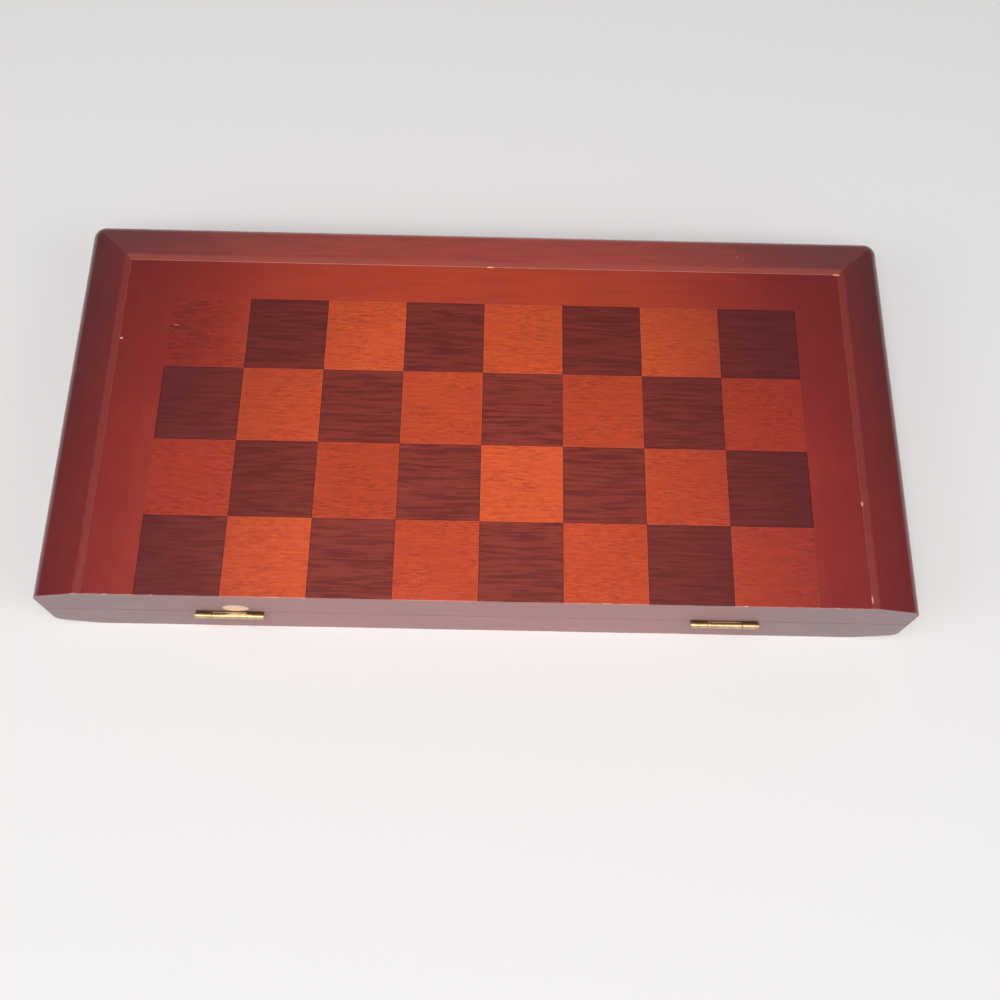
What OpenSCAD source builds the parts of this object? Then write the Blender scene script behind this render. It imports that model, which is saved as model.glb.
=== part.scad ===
// Folding wooden games case. Two equal trays lie face to face and are hinged along the front wall.
// Half of a chequered board is veneered on each outer face, and a backgammon field is inlaid in each tray.
// The origin is at the middle of the underside. +X runs to the right, +Y to the back, +Z up.

/* [Board] */
// Side of one chequer square
square = 38; // [30:0.5:50]
// Squares along the hinge side
columns = 8; // [4:2:12]
// Rows of squares on each half
rows = 4; // [2:1:6]
// Width of the plain border at the left and right of the chequers
border_side = 23; // [12:0.5:40]
// Width of the plain border behind the chequers
border_back = 21; // [12:0.5:40]
// Glue line between neighbouring veneers
kerf = 0.06; // [0.04:0.02:0.2]

/* [Rails] */
// Height of the closed case
case_h = 46; // [40:1:70]
// Width of the moulded rails, seen from above
rail_w = 23.5; // [20:0.5:40]
// Flat lip of the moulding, next to the border
lip_w = 3; // [1:0.5:5]
// Angle of the moulding's slope, in degrees
slope_angle = 15; // [6:1:20]
// Radius of the moulding's outer edge
edge_r = 5; // [3:0.5:7]
// Radius of the back corners in plan
corner_r = 6.5; // [5:0.5:12]
// Thickness of the hinge rails
hinge_rail_t = 14; // [13:0.5:24]
// Ledge of the rails that carries the panel's edge
ledge_w = 5; // [3:0.5:8]
// Softened arris on the edges of the rails
arris = 0.4; // [0.2:0.1:0.8]
// Gap between the rims of the closed trays
rim_gap = 0.2; // [0.2:0.1:1]

/* [Panels] */
// Thickness of the outer veneers
veneer_t = 0.8; // [0.5:0.1:1.5]
// Thickness of the panel's core
core_t = 5; // [3:0.5:6]
// Thickness of the inner veneers
field_t = 0.6; // [0.4:0.1:1.2]
// Points on each short side of a tray
points_per_side = 6; // [4:1:8]
// Length of a backgammon point
point_len = 132; // [60:1:150]
// Width left at the tip of a point
point_tip = 0.8; // [0.4:0.1:2]

/* [Hinges] */
// Length of a hinge
hinge_len = 31; // [26:0.5:50]
// Distance of each hinge's middle from the middle of the case
hinge_x = 113.5; // [60:0.5:120]
// Depth of a leaf on the rim
leaf_depth = 10.5; // [9:0.5:12]
// Thickness of a leaf
leaf_t = 0.8; // [0.7:0.1:1.2]
// Radius of the barrel
barrel_r = 1.4; // [1.3:0.1:2]
// Distance of the barrel's axis from the front wall
barrel_out = 2.1; // [2:0.1:3]
// Radius of the hinge pin
pin_r = 0.65; // [0.5:0.05:0.8]
// Radial clearance of the pin in the moving knuckle
pin_clearance = 0.05; // [0.03:0.01:0.1]
// Gap between neighbouring knuckles
knuckle_gap = 0.2; // [0.1:0.05:0.4]
// Share of the length that the middle knuckle takes
middle_share = 0.5; // [0.3:0.05:0.6]
// Spacing of the two screws in a leaf
screw_pitch = 19; // [14:0.5:22]
// Distance of the screws from the front wall
screw_inset = 5.8; // [4.5:0.1:7]
// Radius of a screw's head
screw_head_r = 1.8; // [1.5:0.1:2.2]
// Radius of a screw's shank
screw_r = 0.9; // [0.7:0.1:1.1]
// Length of a screw
screw_len = 9; // [6:0.5:12]

/* [Closure] */
// Radius of a magnet disc
magnet_r = 4; // [3:0.5:6]
// Thickness of a magnet disc
magnet_t = 3; // [2:0.5:5]
// Distance of each magnet from the middle of the case
magnet_x = 80; // [20:1:140]

/* [Seal] */
// Width of the foil seal
seal_w = 12; // [6:0.5:16]
// Height of the foil seal
seal_h = 8.6; // [5:0.2:10]
// Thickness of the foil seal
seal_t = 0.12; // [0.08:0.02:0.3]
// Place of the seal's middle along the front wall
seal_x = -110; // [-140:1:140]
// Distance of the seal's lower edge from the hinge leaf in the lid's rim
seal_rise = 0.15; // [0.1:0.05:2]

/* [Contents] */
// Diameter of a stone
stone_d = 24; // [18:0.5:25]
// Thickness of a stone
stone_t = 6.4; // [5:0.2:8]
// Depth of the dish in a stone's faces
stone_dish = 0.6; // [0.2:0.1:1]
// Edge of a die
die_size = 12; // [9:0.5:13]
// Radius of a die's pips
pip_r = 1.1; // [0.8:0.1:1.3]

/* [Chessmen] */
// Height of a king
king_h = 58; // [52:0.5:60]
// Radius of a king's foot
king_r = 11; // [10:0.25:12]
// Height of a queen
queen_h = 52; // [46:0.5:54]
// Radius of a queen's foot
queen_r = 10.5; // [9:0.25:11]
// Height of a bishop
bishop_h = 45; // [38:0.5:47]
// Height of a knight
knight_h = 40; // [34:0.5:42]
// Height of a rook
rook_h = 35; // [30:0.5:38]
// Radius of a bishop's, a knight's and a rook's foot
officer_r = 9.5; // [8.5:0.25:10]
// Height of a pawn
pawn_h = 31; // [26:0.5:32]
// Radius of a pawn's foot
pawn_r = 8; // [7:0.25:8.5]
// Thickness of a chessman's foot
foot_t = 2.8; // [2:0.2:3.6]
// Room left between chessmen that lie in one column
lay_gap = 2.6; // [2:0.1:3]

/* [Hidden] */
$fn = 96;

board_x = columns * square;
board_y = rows * square;
inner_x = board_x / 2 + border_side;
case_w = 2 * (inner_x + rail_w);
case_d = board_y + border_back + rail_w;
front_y = -case_d / 2;
back_y = case_d / 2;
inner_y = back_y - rail_w;
tray_h = (case_h - rim_gap) / 2;
rebate_h = veneer_t + core_t + field_t;
field_z = rebate_h;
well_x = inner_x - ledge_w;
well_front = front_y + hinge_rail_t;
well_back = inner_y - ledge_w;
well_d = well_back - well_front;
tongue_t = ledge_w;
point_pitch = well_d / points_per_side;
axis_y = front_y - barrel_out;
axis_z = case_h / 2;
barrel_fn = 48;
overcut = 1;
seal_z = case_h - tray_h + leaf_t + seal_rise + seal_h / 2;
magnet_y = (well_back + back_y) / 2;
magnet_fit = 0.05;
screw_fit = 0.05;
leaf_fit = 0.1;
pin_head = 0.3;
layer_gap = 0.05;
stone_gap = 0.4;
stones_each = 15;
stone_pitch = stone_d + stone_gap;
stones_per_column = floor(well_d / stone_pitch);
stone_columns = ceil(2 * stones_each / stones_per_column);
column_gap = 0.6;
seat_gap = 0.1;
men_x = stone_gap - well_x + stone_columns * stone_pitch + column_gap;
royal_pitch = 2 * king_r + column_gap;
officer_pitch = 2 * officer_r + column_gap;
pawn_pitch = 2 * pawn_r + column_gap;
officers_x = men_x + 2 * royal_pitch;
pawns_x = officers_x + 4 * officer_pitch;
dice_x = pawns_x + 4 * pawn_pitch + column_gap;
dice_step = 2.2 * die_size;
dice_turn = 24;
dice_turn_step = 37;
// Shares of a chessman's foot radius or height that both its form and its resting place use
bead_share = 0.6;
foot_step = 0.82;
stem_share = 0.76;
pawn_ball = 0.62;
rook_drum = 0.74;
mitre_share = 0.55;
mitre_from = 0.6;
mitre_share_h = 0.33;
cup_share = 0.69;
king_rim = 0.83;
queen_rim = 0.88;
poll_share = 0.2;
horse_from = 0.28;
cup_lip = 0.8;

wood_frame = "#7a2c28";
wood_border = "#8e3a2e";
wood_light = "#c8633c";
wood_dark = "#5f2b26";
wood_field = "#8a3f2a";
wood_core = "#c9a36a";
brass = "#b08d4a";
gold = "#c9a24a";
steel = "#9a9da1";
boxwood = "#d9b877";

// Puts its children, drawn as the lower tray, in the lid's place
module as_lid() {
    translate([0, 0, case_h]) mirror([0, 0, 1]) children();
}

// Section of a moulded rail: x runs outwards from the panel's edge and y up from the tray's outer face
module rail_section() {
    round_x = rail_w - edge_r;
    round_y = (round_x - lip_w) * tan(slope_angle) + edge_r / cos(slope_angle);
    slope_normal = [sin(slope_angle), -cos(slope_angle)];
    tangent = [round_x, round_y] + edge_r * slope_normal;
    corner = [rail_w, (rail_w - lip_w) * tan(slope_angle)];
    difference() {
        polygon([
            [arris, 0],
            [lip_w, 0],
            corner,
            [rail_w, tray_h - arris],
            [rail_w - arris, tray_h],
            [arris - ledge_w, tray_h],
            [-ledge_w, tray_h - arris],
            [-ledge_w, rebate_h],
            [0, rebate_h],
            [0, arris]
        ]);
        difference() {
            polygon([
                [round_x, round_y],
                tangent,
                tangent + overcut * slope_normal,
                corner + [overcut, -overcut],
                [rail_w + overcut, round_y],
                [rail_w, round_y]
            ]);
            translate([round_x, round_y]) circle(edge_r);
        }
    }
}

// Moulding turned about the middle of the right-hand back corner, as a quarter block
module corner_block() {
    translate([case_w / 2 - corner_r, back_y - corner_r, 0]) intersection() {
        rotate_extrude() intersection() {
            translate([corner_r - rail_w, 0]) rail_section();
            square([corner_r, tray_h]);
        }
        cube([corner_r, corner_r, tray_h]);
    }
}

// Everything to the outside of the right-hand mitre, as a block
module side_of_mitre() {
    reach = case_d + overcut;
    translate([inner_x, inner_y, -overcut]) linear_extrude(case_h)
        polygon([
            [-reach, -reach],
            [rail_w + overcut, rail_w + overcut],
            [rail_w + overcut, -reach]
        ]);
}

// Right rail: runs from the front wall to the mitre at the back
module side_rail() {
    intersection() {
        union() {
            translate([inner_x, back_y - corner_r, 0]) rotate([90, 0, 0])
                linear_extrude(case_d - corner_r) rail_section();
            corner_block();
        }
        side_of_mitre();
    }
}

// Back rail: mitred at both ends, with a blind seat for each magnet in its rim
module back_rail() {
    difference() {
        union() {
            translate([corner_r - case_w / 2, inner_y, 0]) rotate([90, 0, 90])
                linear_extrude(case_w - 2 * corner_r) rail_section();
            for (side = [0, 1]) mirror([side, 0, 0]) corner_block();
        }
        for (side = [0, 1]) mirror([side, 0, 0]) side_of_mitre();
        for (side = [-1, 1])
            translate([side * magnet_x, magnet_y, tray_h - magnet_t - magnet_fit])
                cylinder(r = magnet_r + magnet_fit, h = magnet_t + overcut);
    }
}

// Hinge rail: lies between the side rails, with a tongue in front of the core's edge
module hinge_rail() {
    difference() {
        union() {
            translate([-well_x, front_y, rebate_h]) cube([2 * well_x, hinge_rail_t, tray_h - rebate_h]);
            translate([-inner_x, front_y, veneer_t]) cube([2 * inner_x, tongue_t, rebate_h - veneer_t]);
        }
        for (side = [-1, 1]) translate([side * hinge_x, 0, 0]) {
            translate([-hinge_len / 2 - leaf_fit, front_y - overcut, tray_h - leaf_t])
                cube([hinge_len + 2 * leaf_fit, leaf_depth + overcut + leaf_fit, leaf_t + overcut]);
            screw_places() translate([0, 0, tray_h - screw_len - screw_fit])
                cylinder(r = screw_r + screw_fit, h = screw_len, $fn = barrel_fn);
        }
    }
}

// Core of a panel: stands in the rebates of the four rails
module panel_core() {
    translate([-inner_x, front_y + tongue_t, veneer_t])
        cube([2 * inner_x, inner_y - front_y - tongue_t, core_t]);
}

// One colour of the chequers. The first square at the left of the back row is light
module squares(parity) {
    for (row = [0 : rows - 1])
        for (col = [0 : columns - 1])
            if ((row + col) % 2 == parity)
                translate([
                    col * square - board_x / 2 + kerf / 2,
                    front_y + board_y - (row + 1) * square + kerf / 2,
                    0
                ])
                    cube([square - kerf, square - kerf, veneer_t]);
}

// Border veneer: three strips that meet in mitres at the back corners of the chequers
module border() {
    chequer_x = board_x / 2 + kerf / 2;
    chequer_y = front_y + board_y + kerf / 2;
    linear_extrude(veneer_t) {
        for (side = [0, 1]) mirror([side, 0, 0])
            polygon([
                [chequer_x, front_y],
                [inner_x, front_y],
                [inner_x, inner_y - kerf],
                [chequer_x, chequer_y - kerf]
            ]);
        polygon([
            [kerf - inner_x, inner_y],
            [kerf - chequer_x, chequer_y],
            [chequer_x - kerf, chequer_y],
            [inner_x - kerf, inner_y]
        ]);
    }
}

// Outline of one point, with its base on the right-hand wall of the well
module point_outline(grow = 0) {
    base = point_pitch / 2 - kerf + grow;
    tip = point_tip / 2 + grow;
    polygon([
        [well_x + grow, -base],
        [well_x + grow, base],
        [well_x - point_len - grow, tip],
        [well_x - point_len - grow, -tip]
    ]);
}

// Places the outlines of one colour, or of both when parity is left out. Colours alternate along each side
module place_points(parities = [0, 1]) {
    for (side = [0, 1])
        for (i = [0 : points_per_side - 1])
            if (len(search((i + side) % 2, parities)) > 0)
                mirror([side, 0, 0])
                    translate([0, well_front + (i + 0.5) * point_pitch, 0]) children();
}

module points(parity) {
    translate([0, 0, rebate_h - field_t]) linear_extrude(field_t)
        place_points([parity]) point_outline();
}

// Field veneer: covers the core's inner face, with a cut-out for each point
module field() {
    translate([0, 0, rebate_h - field_t]) linear_extrude(field_t)
        difference() {
            translate([-inner_x, front_y + tongue_t])
                square([2 * inner_x, inner_y - front_y - tongue_t]);
            place_points() point_outline(kerf / 2);
        }
}

module magnets() {
    for (side = [-1, 1])
        translate([side * magnet_x, magnet_y, tray_h - magnet_t]) cylinder(r = magnet_r, h = magnet_t);
}

// Places the two screws of a leaf whose middle is at x = 0
module screw_places() {
    for (side = [-1, 1])
        translate([side * screw_pitch / 2, front_y + screw_inset, 0]) children();
}

// Knuckle ranges along the barrel, from its middle: the lower leaf has the outer two, the upper the middle
middle_half = hinge_len * middle_share / 2;
outer_from = middle_half + knuckle_gap;
outer_len = hinge_len / 2 - outer_from;

// Leaf of a hinge whose middle is at x = 0, drawn on the lower tray. spans lists [start, length] of its
// knuckles, and bore_r is the radius of their bore
module leaf(spans, bore_r) {
    leaf_z = tray_h - leaf_t;
    difference() {
        union() {
            translate([-hinge_len / 2, front_y, leaf_z]) cube([hinge_len, leaf_depth, leaf_t]);
            for (span = spans) translate([span[0], 0, 0]) {
                translate([0, axis_y, leaf_z]) cube([span[1], barrel_out + overcut, leaf_t]);
                translate([0, axis_y, axis_z]) rotate([0, 90, 0])
                    cylinder(r = barrel_r, h = span[1], $fn = barrel_fn);
            }
        }
        translate([-hinge_len, axis_y, axis_z]) rotate([0, 90, 0])
            cylinder(r = bore_r, h = 2 * hinge_len, $fn = barrel_fn);
        screw_places() {
            translate([0, 0, leaf_z - overcut])
                cylinder(r = screw_r + screw_fit, h = leaf_t + 2 * overcut, $fn = barrel_fn);
            translate([0, 0, tray_h - screw_head_r + screw_r])
                cylinder(r1 = screw_r + screw_fit, r2 = screw_head_r + screw_fit,
                    h = screw_head_r - screw_r, $fn = barrel_fn);
        }
    }
}

module lower_leaf() {
    leaf([[-hinge_len / 2, outer_len], [outer_from, outer_len]], pin_r + pin_clearance);
}

module upper_leaf() {
    as_lid() leaf([[-middle_half, 2 * middle_half]], pin_r + pin_clearance);
}

// Pin with a small peened head at each end
module hinge_pin() {
    translate([-hinge_len / 2, axis_y, axis_z]) rotate([0, 90, 0]) {
        cylinder(r = pin_r, h = hinge_len, $fn = barrel_fn);
        for (end = [-pin_head, hinge_len])
            translate([0, 0, end]) cylinder(r = barrel_r - 2 * pin_clearance, h = pin_head, $fn = barrel_fn);
    }
}

// Countersunk screw with a straight slot, its head flush with the rim
module screw() {
    head_h = screw_head_r - screw_r;
    slot_w = 0.5;
    slot_d = 0.45;
    translate([0, 0, tray_h]) difference() {
        union() {
            translate([0, 0, -head_h]) cylinder(r1 = screw_r, r2 = screw_head_r, h = head_h, $fn = barrel_fn);
            translate([0, 0, 1.5 * screw_r - screw_len])
                cylinder(r = screw_r, h = screw_len - 1.5 * screw_r - head_h, $fn = barrel_fn);
            translate([0, 0, -screw_len])
                cylinder(r1 = screw_r / 4, r2 = screw_r, h = 1.5 * screw_r, $fn = barrel_fn);
        }
        translate([-screw_head_r, -slot_w / 2, -slot_d]) cube([2 * screw_head_r, slot_w, slot_d + overcut]);
    }
}

module tray_screws() {
    for (side = [-1, 1]) translate([side * hinge_x, 0, 0]) screw_places() screw();
}

// Oval foil on the lid's front wall
module gold_seal() {
    steps = 48;
    color(gold) translate([seal_x, front_y, seal_z]) rotate([90, 0, 0]) linear_extrude(seal_t)
        polygon([for (i = [0 : steps - 1])
            [cos(i * 360 / steps) * seal_w / 2, sin(i * 360 / steps) * seal_h / 2]]);
}

// Turned stone: a disc with a shallow dish and a raised ring on both faces and a rounded rim
module stone() {
    r = stone_d / 2;
    round_r = 1.2;
    dish_r = r * 0.68;
    groove_r = r * 0.36;
    groove_w = 0.9;
    rotate_extrude() difference() {
        union() {
            square([r - round_r, stone_t]);
            translate([0, round_r]) square([r, stone_t - 2 * round_r]);
            for (y = [round_r, stone_t - round_r]) translate([r - round_r, y]) circle(round_r, $fn = 32);
        }
        translate([-r, -r]) square([r, 2 * r + stone_t]);
        for (face = [0, 1]) translate([0, face * stone_t]) mirror([0, face]) {
            translate([groove_r + groove_w, -overcut])
                square([dish_r - groove_r - groove_w, stone_dish + overcut]);
            translate([-overcut, -overcut]) square([groove_r + overcut, stone_dish + overcut]);
        }
    }
}

// Stones of one colour lie in one layer on the field, in columns from the left-hand wall of the well
module stones(first) {
    spare = (well_d - stones_per_column * stone_pitch) / 2;
    for (i = [first : first + stones_each - 1])
        translate([
            stone_gap - well_x + stone_pitch * (floor(i / stones_per_column) + 0.5),
            well_front + spare + stone_pitch * (i % stones_per_column + 0.5),
            field_z + layer_gap
        ])
            stone();
}

// Pip places of each face of a die, as steps from the face's middle
PIPS = [
    [[0, 0]],
    [[-1, -1], [1, 1]],
    [[-1, -1], [0, 0], [1, 1]],
    [[-1, -1], [-1, 1], [1, -1], [1, 1]],
    [[-1, -1], [-1, 1], [0, 0], [1, -1], [1, 1]],
    [[-1, -1], [-1, 0], [-1, 1], [1, -1], [1, 0], [1, 1]]
];
// Turns that bring the top face to each side of a die; opposite faces add up to seven
TURNS = [[0, 0, 0], [90, 0, 0], [0, 90, 0], [0, -90, 0], [-90, 0, 0], [180, 0, 0]];

module die() {
    half = die_size / 2;
    pip_step = die_size * 0.26;
    pip_depth = 0.5;
    difference() {
        intersection() {
            cube(die_size, center = true);
            sphere(half * 1.42);
        }
        for (face = [0 : 5]) rotate(TURNS[face])
            for (pip = PIPS[face])
                translate([pip.x * pip_step, pip.y * pip_step, half - pip_depth])
                    cylinder(r = pip_r, h = die_size, $fn = 24);
    }
}

// The two dice lie in the strip that the chessmen leave free at the right
module dice() {
    strip_middle = (dice_x + well_x) / 2;
    shift = die_size / 6;
    color("ivory") for (i = [0, 1])
        translate([
            strip_middle + (2 * i - 1) * shift,
            well_back - (i + 1) * dice_step,
            field_z + layer_gap + die_size / 2
        ])
            rotate([0, i * 90, dice_turn + i * dice_turn_step]) die();
}

// Half section of a disc with a rounded edge
module disc_section(r, z, t) {
    translate([0, z]) square([r - t / 2, t]);
    translate([r - t / 2, z + t / 2]) circle(t / 2, $fn = 32);
}

// Half section of a stem that sweeps in from r0 at z0 to r1 at z1
module sweep_section(r0, z0, r1, z1, bend = 2.4) {
    steps = 8;
    polygon(concat(
        [[0, z0]],
        [for (i = [0 : steps]) [r1 + (r0 - r1) * pow(1 - i / steps, bend), z0 + (z1 - z0) * i / steps]],
        [[0, z1]]
    ));
}

// Half section of the foot, stem and collar that every chessman has
module stem_section(foot_r, neck_r, collar_r, collar_z) {
    bead_t = foot_t * bead_share;
    disc_section(foot_r, 0, foot_t);
    disc_section(foot_r * foot_step, foot_t, bead_t);
    sweep_section(foot_r * stem_share, foot_t, neck_r, collar_z);
    disc_section(collar_r, collar_z - bead_t / 2, bead_t);
}

module pawn() {
    ball_r = pawn_r * pawn_ball;
    neck_r = pawn_r * 0.36;
    rotate_extrude() {
        stem_section(pawn_r, neck_r, pawn_r * 0.64, pawn_h * 0.6);
        square([neck_r, pawn_h - ball_r]);
        intersection() {
            translate([0, pawn_h - ball_r]) circle(ball_r);
            translate([0, pawn_h - 2 * ball_r]) square([ball_r, 2 * ball_r]);
        }
    }
}

module rook() {
    drum_r = officer_r * rook_drum;
    drum_z = rook_h * 0.72;
    neck_r = officer_r * 0.46;
    collar_z = rook_h * 0.58;
    well_r = drum_r * 0.66;
    well_h = rook_h * 0.09;
    slot_w = officer_r * 0.26;
    difference() {
        rotate_extrude() difference() {
            union() {
                stem_section(officer_r, neck_r, officer_r * 0.68, collar_z);
                polygon([
                    [0, collar_z],
                    [neck_r, collar_z],
                    [drum_r - 0.6, drum_z - 1],
                    [drum_r, drum_z],
                    [drum_r, rook_h],
                    [0, rook_h]
                ]);
            }
            translate([-overcut, rook_h - well_h]) square([well_r + overcut, well_h + overcut]);
        }
        for (turn = [0 : 60 : 120]) rotate([0, 0, turn])
            translate([-officer_r, -slot_w / 2, rook_h - well_h * 0.8]) cube([2 * officer_r, slot_w, well_h]);
    }
}

module bishop() {
    neck_r = officer_r * 0.34;
    mitre_r = officer_r * mitre_share;
    mitre_z = bishop_h * mitre_from;
    mitre_h = bishop_h * mitre_share_h;
    ball_r = bishop_h - mitre_z - mitre_h;
    knob_r = ball_r * 0.62;
    steps = 12;
    cut_w = 1.1;
    difference() {
        rotate_extrude() {
            stem_section(officer_r, neck_r, officer_r * 0.6, mitre_z);
            polygon(concat(
                [[0, mitre_z]],
                [for (i = [0 : steps]) [
                    max(neck_r * (1 - i / steps), mitre_r * sin(180 * pow(i / steps, 0.8))),
                    mitre_z + mitre_h * i / steps
                ]],
                [[0, mitre_z + mitre_h]]
            ));
            intersection() {
                translate([0, bishop_h - knob_r]) circle(knob_r, $fn = 32);
                translate([0, bishop_h - 2 * knob_r]) square([knob_r, 2 * knob_r]);
            }
            translate([0, bishop_h - 2 * ball_r]) square([knob_r / 2, ball_r]);
        }
        translate([mitre_r * 0.2, -mitre_r, mitre_z + mitre_h * 0.62]) rotate([0, -35, 0])
            cube([2 * mitre_r, 2 * mitre_r, cut_w]);
    }
}

// Half section of the cup that crowns a king and a queen
module crown_section(foot_r, neck_r, cup_r, collar_z, rim_z) {
    stem_section(foot_r, neck_r, foot_r * 0.67, collar_z);
    lip_z = rim_z + cup_lip;
    disc_section(foot_r * 0.5, collar_z + foot_t * 0.5, foot_t * bead_share);
    polygon([[0, collar_z], [neck_r, collar_z], [cup_r, rim_z], [cup_r, lip_z], [0, lip_z]]);
}

module queen() {
    cup_r = queen_r * cup_share;
    rim_z = queen_h * queen_rim;
    knob_r = queen_h * 0.036;
    notches = 8;
    notch_r = cup_r * 0.26;
    difference() {
        rotate_extrude() {
            crown_section(queen_r, queen_r * 0.34, cup_r, queen_h * 0.65, rim_z);
            sweep_section(cup_r * 0.66, rim_z, knob_r * 0.5, queen_h - knob_r, 0.7);
            intersection() {
                translate([0, queen_h - knob_r]) circle(knob_r, $fn = 32);
                translate([0, queen_h - 2 * knob_r]) square([knob_r, 2 * knob_r]);
            }
        }
        for (i = [1 : notches]) rotate([0, 0, i * 360 / notches])
            translate([cup_r * 0.62, 0, rim_z + cup_lip + notch_r * 0.35]) rotate([0, 90, 0])
                cylinder(r = notch_r, h = cup_r, $fn = 32);
    }
}

module king() {
    cup_r = king_r * cup_share;
    rim_z = king_h * king_rim;
    bar = king_r * 0.22;
    cross_w = king_r * 0.64;
    dome_h = king_h * 0.05;
    rotate_extrude() {
        crown_section(king_r, king_r * 0.35, cup_r, king_h * 0.62, rim_z);
        sweep_section(cup_r * 0.9, rim_z, bar * 0.6, rim_z + dome_h, 0.6);
    }
    translate([-bar / 2, -bar / 2, rim_z]) cube([bar, bar, king_h - rim_z]);
    translate([-cross_w / 2, -bar / 2, king_h - 2.3 * bar]) cube([cross_w, bar, bar]);
}

// Horse's head in side view, in hundredths of the knight's height, from the poll round the face to the chest
HORSE = [
    [-18, 28], [-19, 44], [-18, 56], [-14, 70], [-8, 83], [-3, 90], [1, 100], [6, 91], [11, 85], [17, 76],
    [22, 67], [24, 61], [23, 56], [19, 53], [14, 54], [10, 57], [6, 55], [5, 51], [8, 45], [13, 37], [16, 28]
];

module knight() {
    unit = knight_h / 100;
    chest = officer_r * 0.62;
    cheek = officer_r * 0.45;
    poll = officer_r * poll_share;
    rotate_extrude() {
        disc_section(officer_r, 0, foot_t);
        disc_section(officer_r * foot_step, foot_t, foot_t * bead_share);
        sweep_section(officer_r * stem_share, foot_t, officer_r * 0.6, knight_h * horse_from, 1.8);
        disc_section(officer_r * 0.74, knight_h * horse_from - foot_t * bead_share, foot_t * bead_share);
    }
    intersection() {
        translate([0, officer_r, 0]) rotate([90, 0, 0]) linear_extrude(2 * officer_r) polygon(HORSE * unit);
        translate([-officer_r, 0, 0]) rotate([90, 0, 90]) linear_extrude(3 * officer_r) polygon([
            [-chest, 0],
            [-cheek, 56 * unit],
            [-poll, knight_h],
            [poll, knight_h],
            [cheek, 56 * unit],
            [chest, 0]
        ]);
    }
}

// Lays an upright chessman on the field with its head towards +Y. It rests on its foot's edge and on its
// head, whose radius is head_r at head_z
module lying(foot_r, head_r, head_z) {
    tilt = atan((foot_r - head_r) / (head_z - foot_t / 2));
    translate([0, 0, field_z + seat_gap + foot_r * cos(tilt) + foot_t / 2 * sin(tilt)])
        rotate([-90 - tilt, 0, 0]) children();
}

// Light chessmen point to the back, and dark ones, half a turn round, to the front. x is the middle of
// their column and y their distance from the wall behind their feet
module place_man(dark, x, y) {
    if (dark)
        translate([x, well_back - y, 0]) rotate([0, 0, 180]) children();
    else
        translate([x, well_front + y, 0]) children();
}

module one_king(dark) {
    place_man(dark, men_x + (0.5 + dark) * royal_pitch, lay_gap)
        lying(king_r, king_r * cup_share, king_h * king_rim) king();
}

module one_queen(dark) {
    place_man(dark, men_x + (0.5 + dark) * royal_pitch, king_h + 2 * lay_gap)
        lying(queen_r, queen_r * cup_share, queen_h * queen_rim) queen();
}

module officer_pair(dark, y) {
    for (i = [0, 1]) place_man(dark, officers_x + (0.5 + 2 * dark + i) * officer_pitch, y) children();
}

module bishops(dark) {
    officer_pair(dark, lay_gap)
        lying(officer_r, officer_r * mitre_share, bishop_h * (mitre_from + mitre_share_h / 2)) bishop();
}

module knights(dark) {
    officer_pair(dark, bishop_h + 2 * lay_gap) lying(officer_r, officer_r * poll_share, knight_h) knight();
}

module rooks(dark) {
    officer_pair(dark, bishop_h + knight_h + 3 * lay_gap)
        lying(officer_r, officer_r * rook_drum, rook_h) rook();
}

// One pawn lies before the queen and the other seven in two columns
module pawns(dark) {
    royal_end = king_h + queen_h + 3 * lay_gap;
    place_man(dark, men_x + (0.5 + dark) * royal_pitch, royal_end) lying_pawn();
    for (i = [0 : 6])
        place_man(dark, pawns_x + (0.5 + 2 * dark + floor(i / 4)) * pawn_pitch,
            lay_gap + (i % 4) * (pawn_h + lay_gap)) lying_pawn();
}

module lying_pawn() {
    lying(pawn_r, pawn_r * pawn_ball, pawn_h - pawn_r * pawn_ball) pawn();
}

module base_left_rail() { color(wood_frame) mirror([1, 0, 0]) side_rail(); }
module base_right_rail() { color(wood_frame) side_rail(); }
module base_back_rail() { color(wood_frame) back_rail(); }
module base_hinge_rail() { color(wood_frame) hinge_rail(); }
module base_panel_core() { color(wood_core) panel_core(); }
module base_light_squares() { color(wood_light) squares(1); }
module base_dark_squares() { color(wood_dark) squares(0); }
module base_border() { color(wood_border) border(); }
module base_field() { color(wood_field) field(); }
module base_light_points() { color(wood_light) points(0); }
module base_dark_points() { color(wood_dark) points(1); }
module base_magnets() { color(steel) magnets(); }

module lid_left_rail() { color(wood_frame) as_lid() mirror([1, 0, 0]) side_rail(); }
module lid_right_rail() { color(wood_frame) as_lid() side_rail(); }
module lid_back_rail() { color(wood_frame) as_lid() back_rail(); }
module lid_hinge_rail() { color(wood_frame) as_lid() hinge_rail(); }
module lid_panel_core() { color(wood_core) as_lid() panel_core(); }
module lid_light_squares() { color(wood_light) as_lid() squares(0); }
module lid_dark_squares() { color(wood_dark) as_lid() squares(1); }
module lid_border() { color(wood_border) as_lid() border(); }
module lid_field() { color(wood_field) as_lid() field(); }
module lid_light_points() { color(wood_light) as_lid() points(1); }
module lid_dark_points() { color(wood_dark) as_lid() points(0); }
module lid_magnets() { color(steel) as_lid() magnets(); }

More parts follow.
